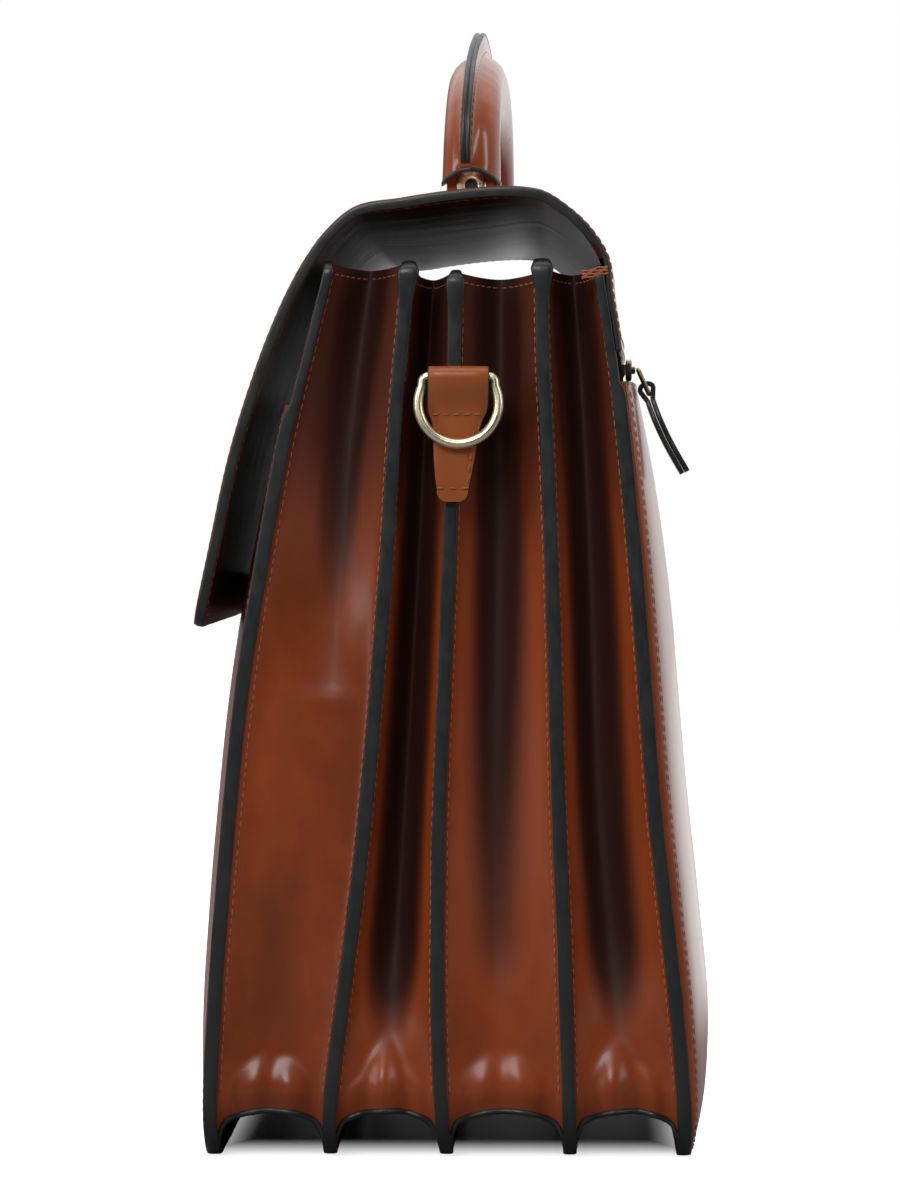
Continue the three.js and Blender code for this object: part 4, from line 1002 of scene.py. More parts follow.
def make_grip():
    raw = handle_line(np.linspace(0, 1, 801))
    line = spaced(raw, 1.9 * MM)
    share = np.linspace(0, 1, len(line))
    along = unit(np.gradient(line, axis=0))
    out = unit(np.stack([along[:, 2], 0 * share, -along[:, 0]], axis=1))
    out[0] = (1, 0, 0)
    out[-1] = (-1, 0, 0)
    ends = np.abs(2 * share - 1)
    swell = 1 + 0.08 * ends**6
    fin_aside = np.stack([0 * share, -2.6 * MM * smooth((ends - 0.45) / 0.5) + 0.6 * MM, 0 * share], axis=1)
    fin = FIN_HEIGHT * (1 - 0.86 * ends**5) * smooth((1 - ends) / 0.03) + 0.4 * MM
    root = GRIP_THICKNESS / 2
    profile = []
    for t in (1, 0.8, 0.55, 0.3, 0.1):
        profile.append(("fin", t, 1))
    for angle in np.radians([28, 42, 58, 76, 94, 112, 130, 148, 164, 180, 196, 212, 230, 248, 266, 284, 302, 318, 332]):
        profile.append(("body", angle, 0))
    for t in (0.1, 0.3, 0.55, 0.8, 1):
        profile.append(("fin", t, -1))
    rings = []
    wrinkle = ripple(share, 77, (19, 31, 47, 83))
    for i in range(len(line)):
        ring = []
        for kind, value, hand in profile:
            if kind == "fin":
                up = root * 0.93 * swell[i] + fin[i] * value
                side = hand * (FIN_WALL / 2 - 0.1 * MM + 1.5 * MM * (1 - value) ** 3)
            else:
                up = math.cos(value) * GRIP_THICKNESS / 2 * swell[i]
                side = math.sin(value) * GRIP_WIDTH / 2 * swell[i]
                up -= 0.12 * MM * wrinkle[i] * (1 + math.cos(value))
            aside = fin_aside[i] if kind == "fin" else fin_aside[i] * max(math.cos(value), 0) ** 2
            ring.append(line[i] + aside + out[i] * up + np.array([0, side, 0]))
        ring = np.array(ring)
        across = np.abs(ring[:, 1] - line[i, 1]) / (GRIP_WIDTH / 2)
        ring[:, 2] -= 4.2 * MM * across**2 * smooth((ends[i] - 0.9) / 0.1)
        rings.append(ring)
    grip = tube("handle_grip_leather", np.array(rings), "leather", sharp=70)
    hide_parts("handle_grip")

    # The fin's painted edge with its groove, and the painted ends of the sleeve
    keep = fin > 1.2 * MM
    path = line + fin_aside + out * (root * 0.93 * swell + fin)[:, None]
    reach = np.full(keep.sum(), FIN_WALL / 2)
    side = np.tile([0.0, 1.0, 0.0], (keep.sum(), 1))
    rise = np.full(keep.sum(), 0.75 * MM)
    edge = bead("handle_fin_edge", path[keep], out[keep], side, -reach, reach, rise, looped=False, groove=0.75)
    for which, name in ((0, "right"), (-1, "left")):
        ring = rings[which]
        middle = ring.mean(axis=0)
        angles = np.linspace(0, 2 * np.pi, 9)[:-1]
        away = unit((ring - middle) * np.array([1, 1, 0.15]))
        cross = [
            ring + away * (0.35 * MM * math.cos(angle)) + np.array([0, 0, 1]) * (0.95 * MM * math.sin(angle))
            for angle in angles
        ]
        end = tube(f"handle_sleeve_edge_{name}", np.stack(cross, axis=1), "edge_paint", looped=True, sharp=60)

    # Stitches on both sides of the fin's foot
    lower = (fin > 3 * MM)
    for hand in (-1, 1):
        foot = line[lower] + fin_aside[lower] + out[lower] * (root * 0.93 * swell[lower] + 2.4 * MM)[:, None]
        foot[:, 1] += hand * (FIN_WALL / 2 + 0.32 * MM)
        stitch(foot, (0, hand, 0))


make_grip()


def top_of_flap(x, y):
    """The height of the flap's upper face at a point of its top."""
    rows = np.linspace(flap_gone[6], flap_gone[14], 200)
    line = flap_curve(rows)
    s = np.interp(y, line[:, 0], rows)
    place, _, _ = flap_place(np.asarray(x, float), np.asarray(s, float) + 0 * np.asarray(x, float), 0 * np.asarray(x, float))
    return place[..., 2]


def make_handle_end(hand, name):
    start = HANDLE_SPAN / 2
    bend = STRAP_BEND + STRAP_WALL / 2
    seat = float(top_of_flap(np.array([start + bend]), handle_y)[0]) + GAP + STRAP_WALL / 2
    line = [(start, z) for z in np.linspace(handle_base + 2 * MM, seat + bend, 8)]
    for angle in np.linspace(0, math.pi / 2, 8)[1:]:
        line.append((start + bend * (1 - math.cos(angle)), seat + bend * (1 - math.sin(angle))))
    foot = np.linspace(start + bend, start + STRAP_FOOT, 16)[1:]
    for x, z in zip(foot, top_of_flap(foot, handle_y)):
        line.append((x, z + GAP + STRAP_WALL / 2))
    line = np.array(line)
    aside = handle_aside(hand * start)
    path = np.stack([line[:, 0], 0 * line[:, 0] + handle_y + aside, line[:, 1]], axis=1)
    along = unit(np.gradient(path, axis=0))
    normal = np.stack([-along[:, 2], 0 * along[:, 1], along[:, 0]], axis=1)
    gone = start + STRAP_FOOT - path[:, 0]
    tip = np.sqrt(np.clip(1 - np.clip(1 - gone / (8 * MM), 0, 1) ** 2, 0.04, 1))
    width = STRAP_WIDTH * np.where(path[:, 0] > start + bend, tip, 1)
    turn = np.array([hand, 1, 1])
    made = strap(f"handle_strap_{name}_leather", path * turn, normal * turn, np.tile([0.0, 1.0, 0.0], (len(path), 1)), width, 0 * width + STRAP_WALL, look=("tab_leather", "edge_paint"), bulge=0.1)
    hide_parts(f"handle_strap_{name}")

    # The eyelet's rolled ring on the strap's upright part
    low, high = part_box(f"handle_eyelet_{name}")
    centre = (low + high) / 2 + Vector((0, aside, 0.7 * MM))
    outer = (high.z - low.z) / 2 + 0.3 * MM
    hole = outer * 0.42
    middle = (outer + hole) / 2
    spread = (outer - hole) / 2
    rings = []
    for angle in np.linspace(0, 2 * np.pi, 41)[:-1]:
        ring = []
        for turned in np.linspace(0, 2 * np.pi, 13)[:-1]:
            radius = middle + spread * math.cos(turned)
            ring.append((
                hand * (start + STRAP_WALL / 2 + 0.55 * MM + 0.6 * MM * math.sin(turned)),
                centre.y + radius * math.cos(angle),
                centre.z + radius * math.sin(angle),
            ))
        rings.append(ring)
    eyelet = tube(f"handle_eyelet_{name}_brass", np.array(rings), "brass", looped=True, sharp=80)
    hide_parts(f"handle_eyelet_{name}")
    # Painted shade: a black disc in the eyelet's hole stands for the dark seen through it.
    hole_shade_rings = []
    for x in (start + STRAP_WALL / 2 + 0.05 * MM, start + STRAP_WALL / 2 + 0.3 * MM):
        hole_shade_rings.append([(hand * x, centre.y + hole * 1.1 * math.cos(a), centre.z + hole * 1.1 * math.sin(a)) for a in np.linspace(0, 2 * np.pi, 25)[:-1]])
    hole_shade_disc = tube(f"handle_eyelet_{name}_hole", np.array(hole_shade_rings), "edge_paint")

    # The rivet that holds the strap end
    low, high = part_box(f"handle_rivet_{name}")
    centre = (low + high) / 2 + Vector((0, aside, 0))
    radius = (high.y - low.y) / 2
    steps = [(0.02, -1.6), (1, -1.6), (1.0, -0.1), (0.97, 0.25), (0.86, 0.55), (0.6, 0.78), (0.3, 0.88), (0.02, 0.9)]
    rings = [[(centre.x + radius * r * math.cos(a), centre.y + radius * r * math.sin(a), centre.z + 0.8 * MM * h) for a in np.linspace(0, 2 * np.pi, 33)[:-1]] for r, h in steps]
    rivet = tube(f"handle_rivet_{name}_brass", np.array(rings), "brass", sharp=50)
    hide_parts(f"handle_rivet_{name}")


make_handle_end(1, "right")
make_handle_end(-1, "left")


# D-RINGS AND TABS

RING_SEAT = HALF_WIDTH + 2 * GAP + TAB_WALL + WIRE_RADIUS
RING_LEG = TAB_LOOP_WIDTH / 2 + WIRE_RADIUS + 1.3 * GAP
RING_BOW = RING_LEG + 1.4 * MM
RING_BAR_RISE = 9.3 * MM
RING_TILT = math.radians(5)
RING_CORNER = 2 * MM
bar_height = frame["joints"][0]["pos_m"][2]
tab_y = (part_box("d_ring_tab_right")[0].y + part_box("d_ring_tab_right")[1].y) / 2 - 1.3 * MM


def make_tab(hand, name):
    loop = WIRE_RADIUS + GAP + TAB_WALL / 2
    back = HALF_WIDTH + GAP + TAB_WALL / 2
    front = back + TAB_WALL
    line = [(back, bar_height - TAB_LENGTH * (1 - t)) for t in np.linspace(0, 0.66, 24)]
    for angle in np.linspace(math.pi, 0, 18):
        line.append((RING_SEAT + loop * math.cos(angle), bar_height + loop * math.sin(angle)))
    for t in np.linspace(0, 1, 9)[1:]:
        line.append((front + (RING_SEAT + loop - front) * (1 - smooth(t)), bar_height - 0.3 * TAB_LENGTH * t))
    line += [(front, bar_height - TAB_LENGTH * t) for t in np.linspace(0.32, 1, 24)]
    line = spaced(line, 0.8 * MM)
    path = np.stack([line[:, 0], 0 * line[:, 0] + tab_y, line[:, 1]], axis=1)
    along = unit(np.gradient(path, axis=0))
    normal = np.stack([-along[:, 2], 0 * along[:, 1], along[:, 0]], axis=1)
    down = np.clip((bar_height - path[:, 2]) / TAB_LENGTH, 0, 1)
    width = curve([0, 0.15, 0.27, 0.36, 0.5, 0.65, 0.9, 0.96, 0.985, 1], np.array([21.2, 21.2, 20.8, 17.6, 15.6, 14.4, 11.2, 10.2, 8.4, 5.6]) * MM)(down)
    path[:, 1] -= 2.1 * MM * smooth(down)
    turn = np.array([hand, 1, 1])
    made = strap(f"d_ring_tab_{name}_leather", path * turn, normal * turn, np.tile([0.0, 1.0, 0.0], (len(path), 1)), width, 0 * width + TAB_WALL, look=("tab_leather", "edge_paint"), bulge=0.12)
    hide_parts(f"d_ring_tab_{name}")
    face = hand * (front + TAB_WALL * 0.56 + 0.3 * MM)
    for height, reach, aside in ((258.6 * MM, 7.2 * MM, 0.6 * MM), (233.2 * MM, 4.4 * MM, 2.0 * MM)):
        stitch([(face, tab_y - aside - reach, height), (face, tab_y - aside + reach, height)], (hand, 0, 0))
    stitch([(face, tab_y + 5.2 * MM, 252 * MM), (face, tab_y + 3.1 * MM, 236 * MM)], (hand, 0, 0))


def make_ring(hand, name):
    start = math.acos(RING_LEG / RING_BOW)
    corner = [(RING_LEG - RING_CORNER * (1 - math.sin(a)), -RING_CORNER * (1 - math.cos(a))) for a in np.linspace(0, math.pi / 2, 6)]
    bow = []
    for t in np.linspace(0, 1, 49):
        angle = start - t * (math.pi + 2 * start)
        bow.append((RING_BOW * math.cos(angle), RING_BOW * math.sin(angle) - RING_BAR_RISE))
    line = np.array(corner + bow + [(-x, z) for x, z in corner[::-1]])
    before = np.roll(line, 1, axis=0)
    after = np.roll(line, -1, axis=0)
    along = unit(after - before)
    normal = np.stack([-along[:, 1], along[:, 0]], axis=1)
    angles = np.linspace(0, 2 * np.pi, 17)[:-1]
    plane = line[:, None] + normal[:, None] * (WIRE_RADIUS * np.cos(angles))[None, :, None]
    out = np.broadcast_to(WIRE_RADIUS * np.sin(angles), plane.shape[:2])
    rings = np.stack(
        [
            hand * (RING_SEAT + out * math.cos(RING_TILT) - plane[..., 1] * math.sin(RING_TILT)),
            tab_y + plane[..., 0],
            bar_height + plane[..., 1] * math.cos(RING_TILT) + out * math.sin(RING_TILT),
        ],
        axis=-1,
    )
    made = tube(f"d_ring_{name}_brass", rings, "brass", looped=True, body=f"d_ring_{name}", sharp=80)
    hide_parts(f"d_ring_{name}")


for hand, name in ((1, "right"), (-1, "left")):
    make_tab(hand, name)
    make_ring(hand, name)


# ZIP

tape_low, tape_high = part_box("zip_tape")
slider_low, slider_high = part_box("zip_slider")
slider_x = (slider_low.x + slider_high.x) / 2


def make_zip():
    half = tape_high.x
    wall_at = lambda z: float(wall_y[-1](z)) + PANEL_WALL / 2 + GAP
    for sign, name in ((-1, "lower"), (1, "upper")):
        near = zip_height + sign * 0.9 * MM
        far = zip_height + sign * 4.5 * MM
        x = np.linspace(-half, half, 40)
        z = np.linspace(near, far, 5)
        grid_x, grid_z = np.meshgrid(x, z, indexing="ij")
        y = np.vectorize(wall_at)(grid_z)
        face = np.stack([grid_x, y + 1.3 * MM, grid_z], axis=-1)
        back = np.stack([grid_x, y, grid_z], axis=-1)
        tape = sheet(f"zip_tape_{name}", face, back, "zip_tape")
        if sign == 1:
            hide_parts("zip_tape")
    return wall_at(zip_height) + 1.3 * MM


zip_face = make_zip()


def lathe_box(name, size, centre, look, bevel, body="bag", turn=0.0):
    """A box with rounded edges: size and centre in metres, turned about X by an angle."""
    grown = np.array(size) / 2
    rings = []
    levels = [(-1, 1 - bevel), (-1 + bevel * 0.35, 1 - bevel * 0.3), (-1 + bevel, 1), (1 - bevel, 1), (1 - bevel * 0.35, 1 - bevel * 0.3), (1, 1 - bevel)]
    for level, wide in levels:
        ring = []
        for angle in np.linspace(0, 2 * np.pi, 33)[:-1]:
            c, s = math.cos(angle), math.sin(angle)
            ring.append((
                grown[0] * wide * math.copysign(abs(c) ** 0.35, c),
                grown[1] * level,
                grown[2] * wide * math.copysign(abs(s) ** 0.35, s),
            ))
        rings.append(ring)
    rings = np.array(rings)
    y = rings[..., 1] * math.cos(turn) - rings[..., 2] * math.sin(turn)
    z = rings[..., 1] * math.sin(turn) + rings[..., 2] * math.cos(turn)
    rings = np.stack([rings[..., 0], y, z], axis=-1) + np.array(centre)
    return tube(name, rings, look, body=body, sharp=45)


def make_slider():
    centre_y = (slider_low.y + slider_high.y) / 2
    base = lathe_box("zip_slider_brass", (9 * MM, 2.2 * MM, 7.5 * MM), (slider_x, centre_y - 0.6 * MM, zip_height), "antique_brass", 0.3)
    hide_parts("zip_slider")
    bridge = lathe_box("zip_slider_bridge", (6.4 * MM, 1.5 * MM, 2.6 * MM), (slider_x, centre_y + 1.0 * MM, zip_height), "antique_brass", 0.4)


make_slider()


def pull_place(down, out):
    """A place on the hanging pull: down along it from the slider and out from it, as (y, z)."""
    start_y = slider_high.y + GAP + LINK_WIRE
    along = np.array([math.sin(PULL_LEAN), -math.cos(PULL_LEAN)])
    away = np.array([math.cos(PULL_LEAN), math.sin(PULL_LEAN)])
    return np.array([start_y, zip_height]) + along * np.asarray(down)[..., None] + away * np.asarray(out)[..., None]


def make_link():
    half = LINK_WIDTH / 2
    line = []
    for angle in np.linspace(0, 2 * np.pi, 33)[:-1]:
        c, s = math.cos(angle), math.sin(angle)
        line.append((half * 1.1 * math.copysign(abs(c) ** 0.6, c), LINK_LENGTH / 2 + LINK_LENGTH / 2 * math.copysign(abs(s) ** 0.6, s)))
    line = np.array(line)
    along = unit(np.roll(line, -1, axis=0) - np.roll(line, 1, axis=0))
    normal = np.stack([-along[:, 1], along[:, 0]], axis=1)
    angles = np.linspace(0, 2 * np.pi, 11)[:-1]
    plane = line[:, None] + normal[:, None] * (LINK_WIRE * 1.2 * np.cos(angles))[None, :, None]
    out = np.broadcast_to(LINK_WIRE * np.sin(angles), plane.shape[:2])
    place = pull_place(plane[..., 1], out)
    rings = np.stack([slider_x + plane[..., 0], place[..., 0], place[..., 1]], axis=-1)
    made = tube("zip_pull_link_brass", rings, "antique_brass", looped=True, sharp=80)
    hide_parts("zip_pull_link")


def make_pull():
    layer = PULL_WALL / 2
    loop = LINK_WIRE * 1.2 + 1.3 * GAP + layer / 2
    line = [(PULL_LENGTH * (1 - t), -layer / 2) for t in np.linspace(0, 0.88, 24)]
    line += [(-loop * math.cos(a), -loop * math.sin(a)) for a in np.linspace(math.pi / 2.2, -math.pi / 2.2, 14)]
    line += [(PULL_LENGTH * t, layer / 2) for t in np.linspace(0.12, 1, 24)]
    line = spaced(line, 0.8 * MM)
    bend = 1.6 * MM * np.sin(np.clip(line[:, 0] / PULL_LENGTH, 0, 1) * 2.6) - 1.2 * MM * smooth(line[:, 0] / PULL_LENGTH)
    place = pull_place(LINK_LENGTH - 1.5 * MM + line[:, 0], line[:, 1] * 1.15 - bend)
    path = np.stack([0 * line[:, 0] + slider_x, place[:, 0], place[:, 1]], axis=1)
    along = unit(np.gradient(path, axis=0))
    normal = np.stack([0 * along[:, 0], -along[:, 2], along[:, 1]], axis=1)
    down = np.clip(line[:, 0] / PULL_LENGTH, 0, 1)
    width = curve([0, 0.12, 0.3, 0.55, 0.9, 0.97, 1], np.array([4, 4.4, 8.6, 10, 11, 10, 7]) * MM)(down)
    made = strap("zip_pull_leather", path, normal, np.tile([1.0, 0.0, 0.0], (len(path), 1)), width, 0 * width + layer * 0.96, look=("tab_leather", "edge_paint"), bulge=0.1)
    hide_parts("zip_pull_tab")


make_link()
make_pull()


# CLASP


def make_clasp():
    low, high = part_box("clasp")
    tip, _, along = flap_place(np.array([0.0]), np.array([12 * MM]), np.array([-1.6 * MM]))
    lean = math.atan2(along[0, 1], along[0, 2])
    plate = lathe_box("clasp_plate", (34 * MM, 2.4 * MM, 29 * MM), tip[0], "brass", 0.35, turn=-lean)
    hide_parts("clasp")
    inner = lathe_box("clasp_catch", (26 * MM, 5 * MM, 15 * MM), (0, high.y - 2.4 * MM, low.z + 9 * MM), "antique_brass", 0.25, turn=-lean)


make_clasp()


# STITCHES AND ZIP TEETH


def make_row_tree():
    """Geometry nodes that lay small shapes along lines: sizes, step, turn and material are named inputs."""
    tree = bpy.data.node_groups.new("satchel rows", "GeometryNodeTree")
    face = tree.interface
    face.new_socket("Geometry", in_out="INPUT", socket_type="NodeSocketGeometry")
    for title, kind, value in (
        ("Step", "NodeSocketFloat", STITCH_PITCH),
        ("Size", "NodeSocketVector", (1, 1, 1)),
        ("Turn", "NodeSocketFloat", 0.0),
        ("Wander", "NodeSocketFloat", 0.0),
        ("Square", "NodeSocketBool", False),
        ("Seed", "NodeSocketInt", 1),
    ):
        face.new_socket(title, in_out="INPUT", socket_type=kind).default_value = value
    face.new_socket("Material", in_out="INPUT", socket_type="NodeSocketMaterial")
    face.new_socket("Geometry", in_out="OUTPUT", socket_type="NodeSocketGeometry")
    nodes, link = tree.nodes, tree.links.new
    given = nodes.new("NodeGroupInput")
    made = nodes.new("NodeGroupOutput")
    curves = nodes.new("GeometryNodeMeshToCurve")
    points = nodes.new("GeometryNodeCurveToPoints")
    points.mode = "LENGTH"
    link(given.outputs["Geometry"], curves.inputs["Mesh"])
    link(curves.outputs["Curve"], points.inputs["Curve"])
    link(given.outputs["Step"], points.inputs["Length"])
    along = nodes.new("FunctionNodeAlignRotationToVector")
    along.axis = "X"
    link(points.outputs["Tangent"], along.inputs["Vector"])
    up = nodes.new("GeometryNodeInputNamedAttribute")
    up.data_type = "FLOAT_VECTOR"
    up.inputs["Name"].default_value = "up"
    upright = nodes.new("FunctionNodeAlignRotationToVector")
    upright.axis = "Z"
    upright.pivot_axis = "X"
    link(along.outputs["Rotation"], upright.inputs["Rotation"])
    link(up.outputs["Attribute"], upright.inputs["Vector"])
    chance = nodes.new("FunctionNodeRandomValue")
    chance.data_type = "FLOAT"
    chance.inputs["Min"].default_value = -1
    link(given.outputs["Seed"], chance.inputs["Seed"])
    wander = nodes.new("ShaderNodeMath")
    wander.operation = "MULTIPLY_ADD"
    link(chance.outputs[1], wander.inputs[0])
    link(given.outputs["Wander"], wander.inputs[1])
    link(given.outputs["Turn"], wander.inputs[2])
    about = nodes.new("FunctionNodeAxisAngleToRotation")
    about.inputs["Axis"].default_value = (0, 0, 1)
    link(wander.outputs[0], about.inputs["Angle"])
    turned = nodes.new("FunctionNodeRotateRotation")
    turned.rotation_space = "LOCAL"
    link(upright.outputs["Rotation"], turned.inputs["Rotation"])
    link(about.outputs["Rotation"], turned.inputs["Rotate By"])
    ball = nodes.new("GeometryNodeMeshUVSphere")
    ball.inputs["Segments"].default_value = 8
    ball.inputs["Rings"].default_value = 5
    ball.inputs["Radius"].default_value = 0.5
    smoothed = nodes.new("GeometryNodeSetShadeSmooth")
    link(ball.outputs["Mesh"], smoothed.inputs["Geometry"])
    block = nodes.new("GeometryNodeMeshCube")
    choose = nodes.new("GeometryNodeSwitch")
    choose.input_type = "GEOMETRY"
    link(given.outputs["Square"], choose.inputs["Switch"])
    link(smoothed.outputs["Geometry"], choose.inputs["False"])
    link(block.outputs["Mesh"], choose.inputs["True"])
    laid = nodes.new("GeometryNodeInstanceOnPoints")
    link(points.outputs["Points"], laid.inputs["Points"])
    link(choose.outputs["Output"], laid.inputs["Instance"])
    link(turned.outputs["Rotation"], laid.inputs["Rotation"])
    link(given.outputs["Size"], laid.inputs["Scale"])
    real = nodes.new("GeometryNodeRealizeInstances")
    finish = nodes.new("GeometryNodeSetMaterial")
    link(laid.outputs["Instances"], real.inputs["Geometry"])
    link(real.outputs["Geometry"], finish.inputs["Geometry"])
    link(given.outputs["Material"], finish.inputs["Material"])
    link(finish.outputs["Geometry"], made.inputs["Geometry"])
    return tree


row_tree = make_row_tree()


def make_rows(name, lines, look, values):
    """Lays the row tree's shapes along lines of (points, ups) and keeps the result as a plain mesh."""
    points = []
    edges = []
    ups = []
    for line, up in lines:
        first = len(points)
        points += line.tolist()
        ups.append(up)
        edges += [(first + i, first + i + 1) for i in range(len(line) - 1)]
    mesh = bpy.data.meshes.new(name)
    mesh.from_pydata(points, edges, [])
    mesh.attributes.new("up", "FLOAT_VECTOR", "POINT").data.foreach_set("vector", np.concatenate(ups).astype(np.float32).ravel())
    made = bpy.data.objects.new(name, mesh)
    bpy.context.scene.collection.objects.link(made)
    live = made.modifiers.new("rows", "NODES")
    live.node_group = row_tree
    sockets = {item.name: item.identifier for item in row_tree.interface.items_tree if item.in_out == "INPUT"}
    for key, value in {**values, "Material": materials[look]}.items():
        live[sockets[key]] = value
    bpy.context.view_layer.update()
    evaluated = made.evaluated_get(bpy.context.evaluated_depsgraph_get())
    plain = bpy.data.meshes.new_from_object(evaluated)
    made.modifiers.remove(live)
    made.data = plain
    bpy.data.meshes.remove(mesh)
    plain.name = name
    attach(made, "bag")
    return made


make_rows(
    "stitches",
    stitch_lines,
    "thread",
    {"Step": STITCH_PITCH, "Size": (STITCH_LENGTH, STITCH_WIDTH, STITCH_WIDTH * 0.8), "Wander": 0.09, "Seed": 5},
)

teeth = []
for offset in (-0.55 * MM, 0.55 * MM):
    x = np.linspace(-1, 1, 3) * (tape_high.x - 3 * MM) + offset
    line = np.stack([x, 0 * x + zip_face + 0.5 * MM, 0 * x + zip_height + offset * 1.2], axis=1)
    teeth.append((line, np.tile([0.0, 1.0, 0.0], (3, 1))))
make_rows(
    "zip_teeth",
    teeth,
    "antique_brass",
    {"Step": 2.2 * MM, "Size": (1.0 * MM, 2.2 * MM, 1.4 * MM), "Turn": 0.0, "Square": True, "Seed": 2},
)


# BAR TACK, STAGE, LIGHT AND CAMERA


def make_bar_tack():
    """Thick thread wrapped round the last edge where the gusset's hem and the flap's tail meet."""
    for hand in (1, -1):
        for turn in range(4):
            height = 308.6 * MM - turn * 0.75 * MM
            y = float(wall_y[-1](height))
            rings = []
            for t in np.linspace(-1, 1, 25):
                lift = 0.7 * MM * (1 - t**4)
                centre = np.array([
                    HALF_WIDTH + lift - 0.1 * MM,
                    y - 2 * MM + t * 4.6 * MM,
                    height + t * 1.1 * MM + 0.25 * MM * math.sin(6 * t + 2 * turn),
                ])
                ring = [
                    centre + np.array([0.34 * MM * math.cos(a), 0, 0.34 * MM * math.sin(a)])
                    for a in np.linspace(0, 2 * np.pi, 9)[:-1]
                ]
                rings.append(ring)
            rings = np.array(rings) * np.array([hand, 1, 1])
            tack = tube(f"bar_tack_{'right' if hand == 1 else 'left'}_{turn + 1}", rings, "thread", sharp=80)


make_bar_tack()


def make_floor():
    mesh = bpy.data.meshes.new("floor")
    reach = 6.0
    mesh.from_pydata([(-reach, -reach, 0), (reach, -reach, 0), (reach, reach, 0), (-reach, reach, 0)], [], [(0, 1, 2, 3)])
    floor = bpy.data.objects.new("floor", mesh)
    bpy.context.scene.collection.objects.link(floor)
    made = bpy.data.materials.new("floor")
    made.use_nodes = True
    shader = made.node_tree.nodes["Principled BSDF"]
    shader.inputs["Base Color"].default_value = (0.9, 0.9, 0.9, 1)
    shader.inputs["Roughness"].default_value = 0.25
    shader.inputs["Specular IOR Level"].default_value = 0.35
    shader.inputs["Emission Color"].default_value = (1, 1, 1, 1)
    where = tree_node(made.node_tree, "ShaderNodeTexCoord", (-1200, 0))
    shape = tree_node(made.node_tree, "ShaderNodeMapping", (-1000, 0), {"Scale": (1 / 0.205, 1 / 0.097, 1)})
    sizes = tree_node(made.node_tree, "ShaderNodeVectorMath", (-900, 0), operation="ABSOLUTE")
    scaled = tree_node(made.node_tree, "ShaderNodeSeparateXYZ", (-800, 0))
    made.node_tree.links.new(where.outputs["Object"], shape.inputs["Vector"])
    made.node_tree.links.new(shape.outputs["Vector"], sizes.inputs[0])
    made.node_tree.links.new(sizes.outputs["Vector"], scaled.inputs[0])
    # Painted shadow: for the camera the floor is dark and does not glow over the bag's footprint, turning white just
    # beyond it.
    away = math_node(made.node_tree, "MAXIMUM", (-650, 0), scaled.outputs["X"], scaled.outputs["Y"])
    outside_painted_shadow = range_node(made.node_tree, (-500, 0), away, 0.72, 0.97, 0.0, 0.9)
    made.node_tree.links.new(outside_painted_shadow, shader.inputs["Emission Strength"])
    floor_with_painted_shadow = mix_colour(made.node_tree, (-300, 200), outside_painted_shadow, (0.1, 0.1, 0.1, 1), (0.9, 0.9, 0.9, 1))
    made.node_tree.links.new(floor_with_painted_shadow, shader.inputs["Base Color"])
    parts = tree_node(made.node_tree, "ShaderNodeSeparateXYZ", (-1000, -300))
    made.node_tree.links.new(where.outputs["Object"], parts.inputs[0])
    far = range_node(made.node_tree, (-800, -300), parts.outputs["X"], -0.5, -0.1, 0.9, 0.0)
    back = range_node(made.node_tree, (-800, -500), parts.outputs["Y"], -0.02, 0.06, 0.0, 1.0)
    behind = math_node(made.node_tree, "MULTIPLY", (-600, -400), far, back)
    dim = tree_node(made.node_tree, "ShaderNodeBsdfPrincipled", (0, -400), {"Base Color": (0.16, 0.16, 0.16, 1)})
    dim.inputs["Emission Color"].default_value = (1, 1, 1, 1)
    made.node_tree.links.new(behind, dim.inputs["Emission Strength"])
    path = tree_node(made.node_tree, "ShaderNodeLightPath", (0, 400))
    mix = tree_node(made.node_tree, "ShaderNodeMixShader", (300, 0))
    made.node_tree.links.new(path.outputs["Is Camera Ray"], mix.inputs[0])
    made.node_tree.links.new(dim.outputs[0], mix.inputs[1])
    made.node_tree.links.new(shader.outputs[0], mix.inputs[2])
    made.node_tree.links.new(mix.outputs[0], made.node_tree.nodes["Material Output"].inputs["Surface"])
    mesh.materials.append(made)


make_floor()


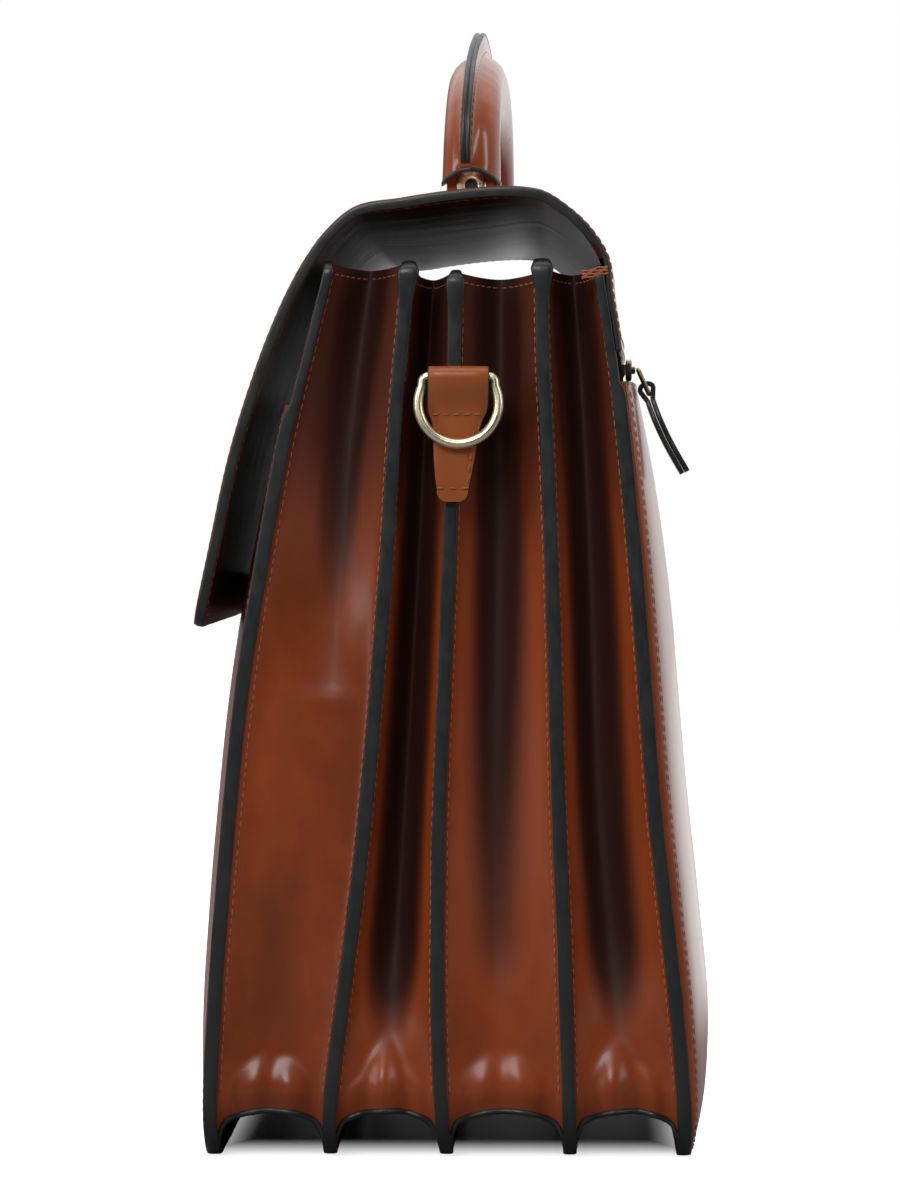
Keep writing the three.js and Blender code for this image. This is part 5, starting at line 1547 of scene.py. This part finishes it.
def make_world():
    """White behind and above, dim on the camera's side and low in front; the camera itself sees white."""
    world = bpy.data.worlds.new("studio")
    bpy.context.scene.world = world
    world.use_nodes = True
    tree = world.node_tree
    tree.nodes.clear()
    link = tree.links.new
    where = tree.nodes.new("ShaderNodeTexCoord")
    parts = tree.nodes.new("ShaderNodeSeparateXYZ")
    link(where.outputs["Generated"], parts.inputs[0])
    toward = range_node(tree, (0, 0), parts.outputs["X"], -0.5, 0.3, 1.0, 0.015)
    aside = range_node(tree, (0, 200), parts.outputs["Y"], -0.2, -0.01, 0.12, 1.0)
    high = range_node(tree, (0, 400), parts.outputs["Z"], 0.1, 0.4, 0.12, 1.0)
    toward = math_node(tree, "MULTIPLY", (300, 200), toward, math_node(tree, "MAXIMUM", (200, 300), aside, high))
    sides = math_node(tree, "ABSOLUTE", (0, -200), parts.outputs["Y"], 0)
    boxes = range_node(tree, (200, -200), sides, 0.6, 0.95, 0.0, 0.3)
    above = range_node(tree, (200, -400), parts.outputs["Z"], 0.3, 0.9, 0.0, 0.35)
    total = math_node(tree, "ADD", (500, 0), math_node(tree, "ADD", (400, 0), toward, boxes), above)
    lit = tree.nodes.new("ShaderNodeBackground")
    link(total, lit.inputs["Strength"])
    lit.inputs["Color"].default_value = (1, 1, 1, 1)
    seen = tree.nodes.new("ShaderNodeBackground")
    seen.inputs["Color"].default_value = (1, 1, 1, 1)
    seen.inputs["Strength"].default_value = 1.0
    path = tree.nodes.new("ShaderNodeLightPath")
    mix = tree.nodes.new("ShaderNodeMixShader")
    made = tree.nodes.new("ShaderNodeOutputWorld")
    link(path.outputs["Is Camera Ray"], mix.inputs[0])
    link(lit.outputs[0], mix.inputs[1])
    link(seen.outputs[0], mix.inputs[2])
    link(mix.outputs[0], made.inputs["Surface"])


make_world()


def softbox(name, place, aim, size, power):
    light = bpy.data.lights.new(name, "AREA")
    light.shape = "RECTANGLE"
    light.size, light.size_y = size
    light.energy = power
    lamp = bpy.data.objects.new(name, light)
    lamp.location = place
    lamp.rotation_euler = (Vector(aim) - Vector(place)).to_track_quat("-Z", "Y").to_euler()
    bpy.context.scene.collection.objects.link(lamp)
    lamp.visible_camera = False


softbox("left_box", (1.0, -1.6, 0.9), (0, 0, 0.18), (0.4, 1.2), 9)
softbox("right_box", (0.9, 1.6, 0.9), (0, 0, 0.18), (0.3, 1.0), 5)
softbox("front_box", (1.75, -0.45, 1.25), (0.2, 0, 0.1), (0.8, 0.6), 15)
softbox("top_box", (0.1, 0.0, 1.8), (0, 0, 0.1), (1.6, 1.6), 14)

camera_data = bpy.data.cameras.new("camera")
camera_data.lens = 134.8
camera_data.sensor_width = 36
camera = bpy.data.objects.new("camera", camera_data)
camera.location = (1.755, 0.0389, 0.229)
aim = Vector((0.205, 0.0010, 0.1946))
camera.rotation_euler = (aim - camera.location).to_track_quat("-Z", "Y").to_euler()
bpy.context.scene.collection.objects.link(camera)
bpy.context.scene.camera = camera
bpy.context.scene.view_settings.view_transform = "Standard"
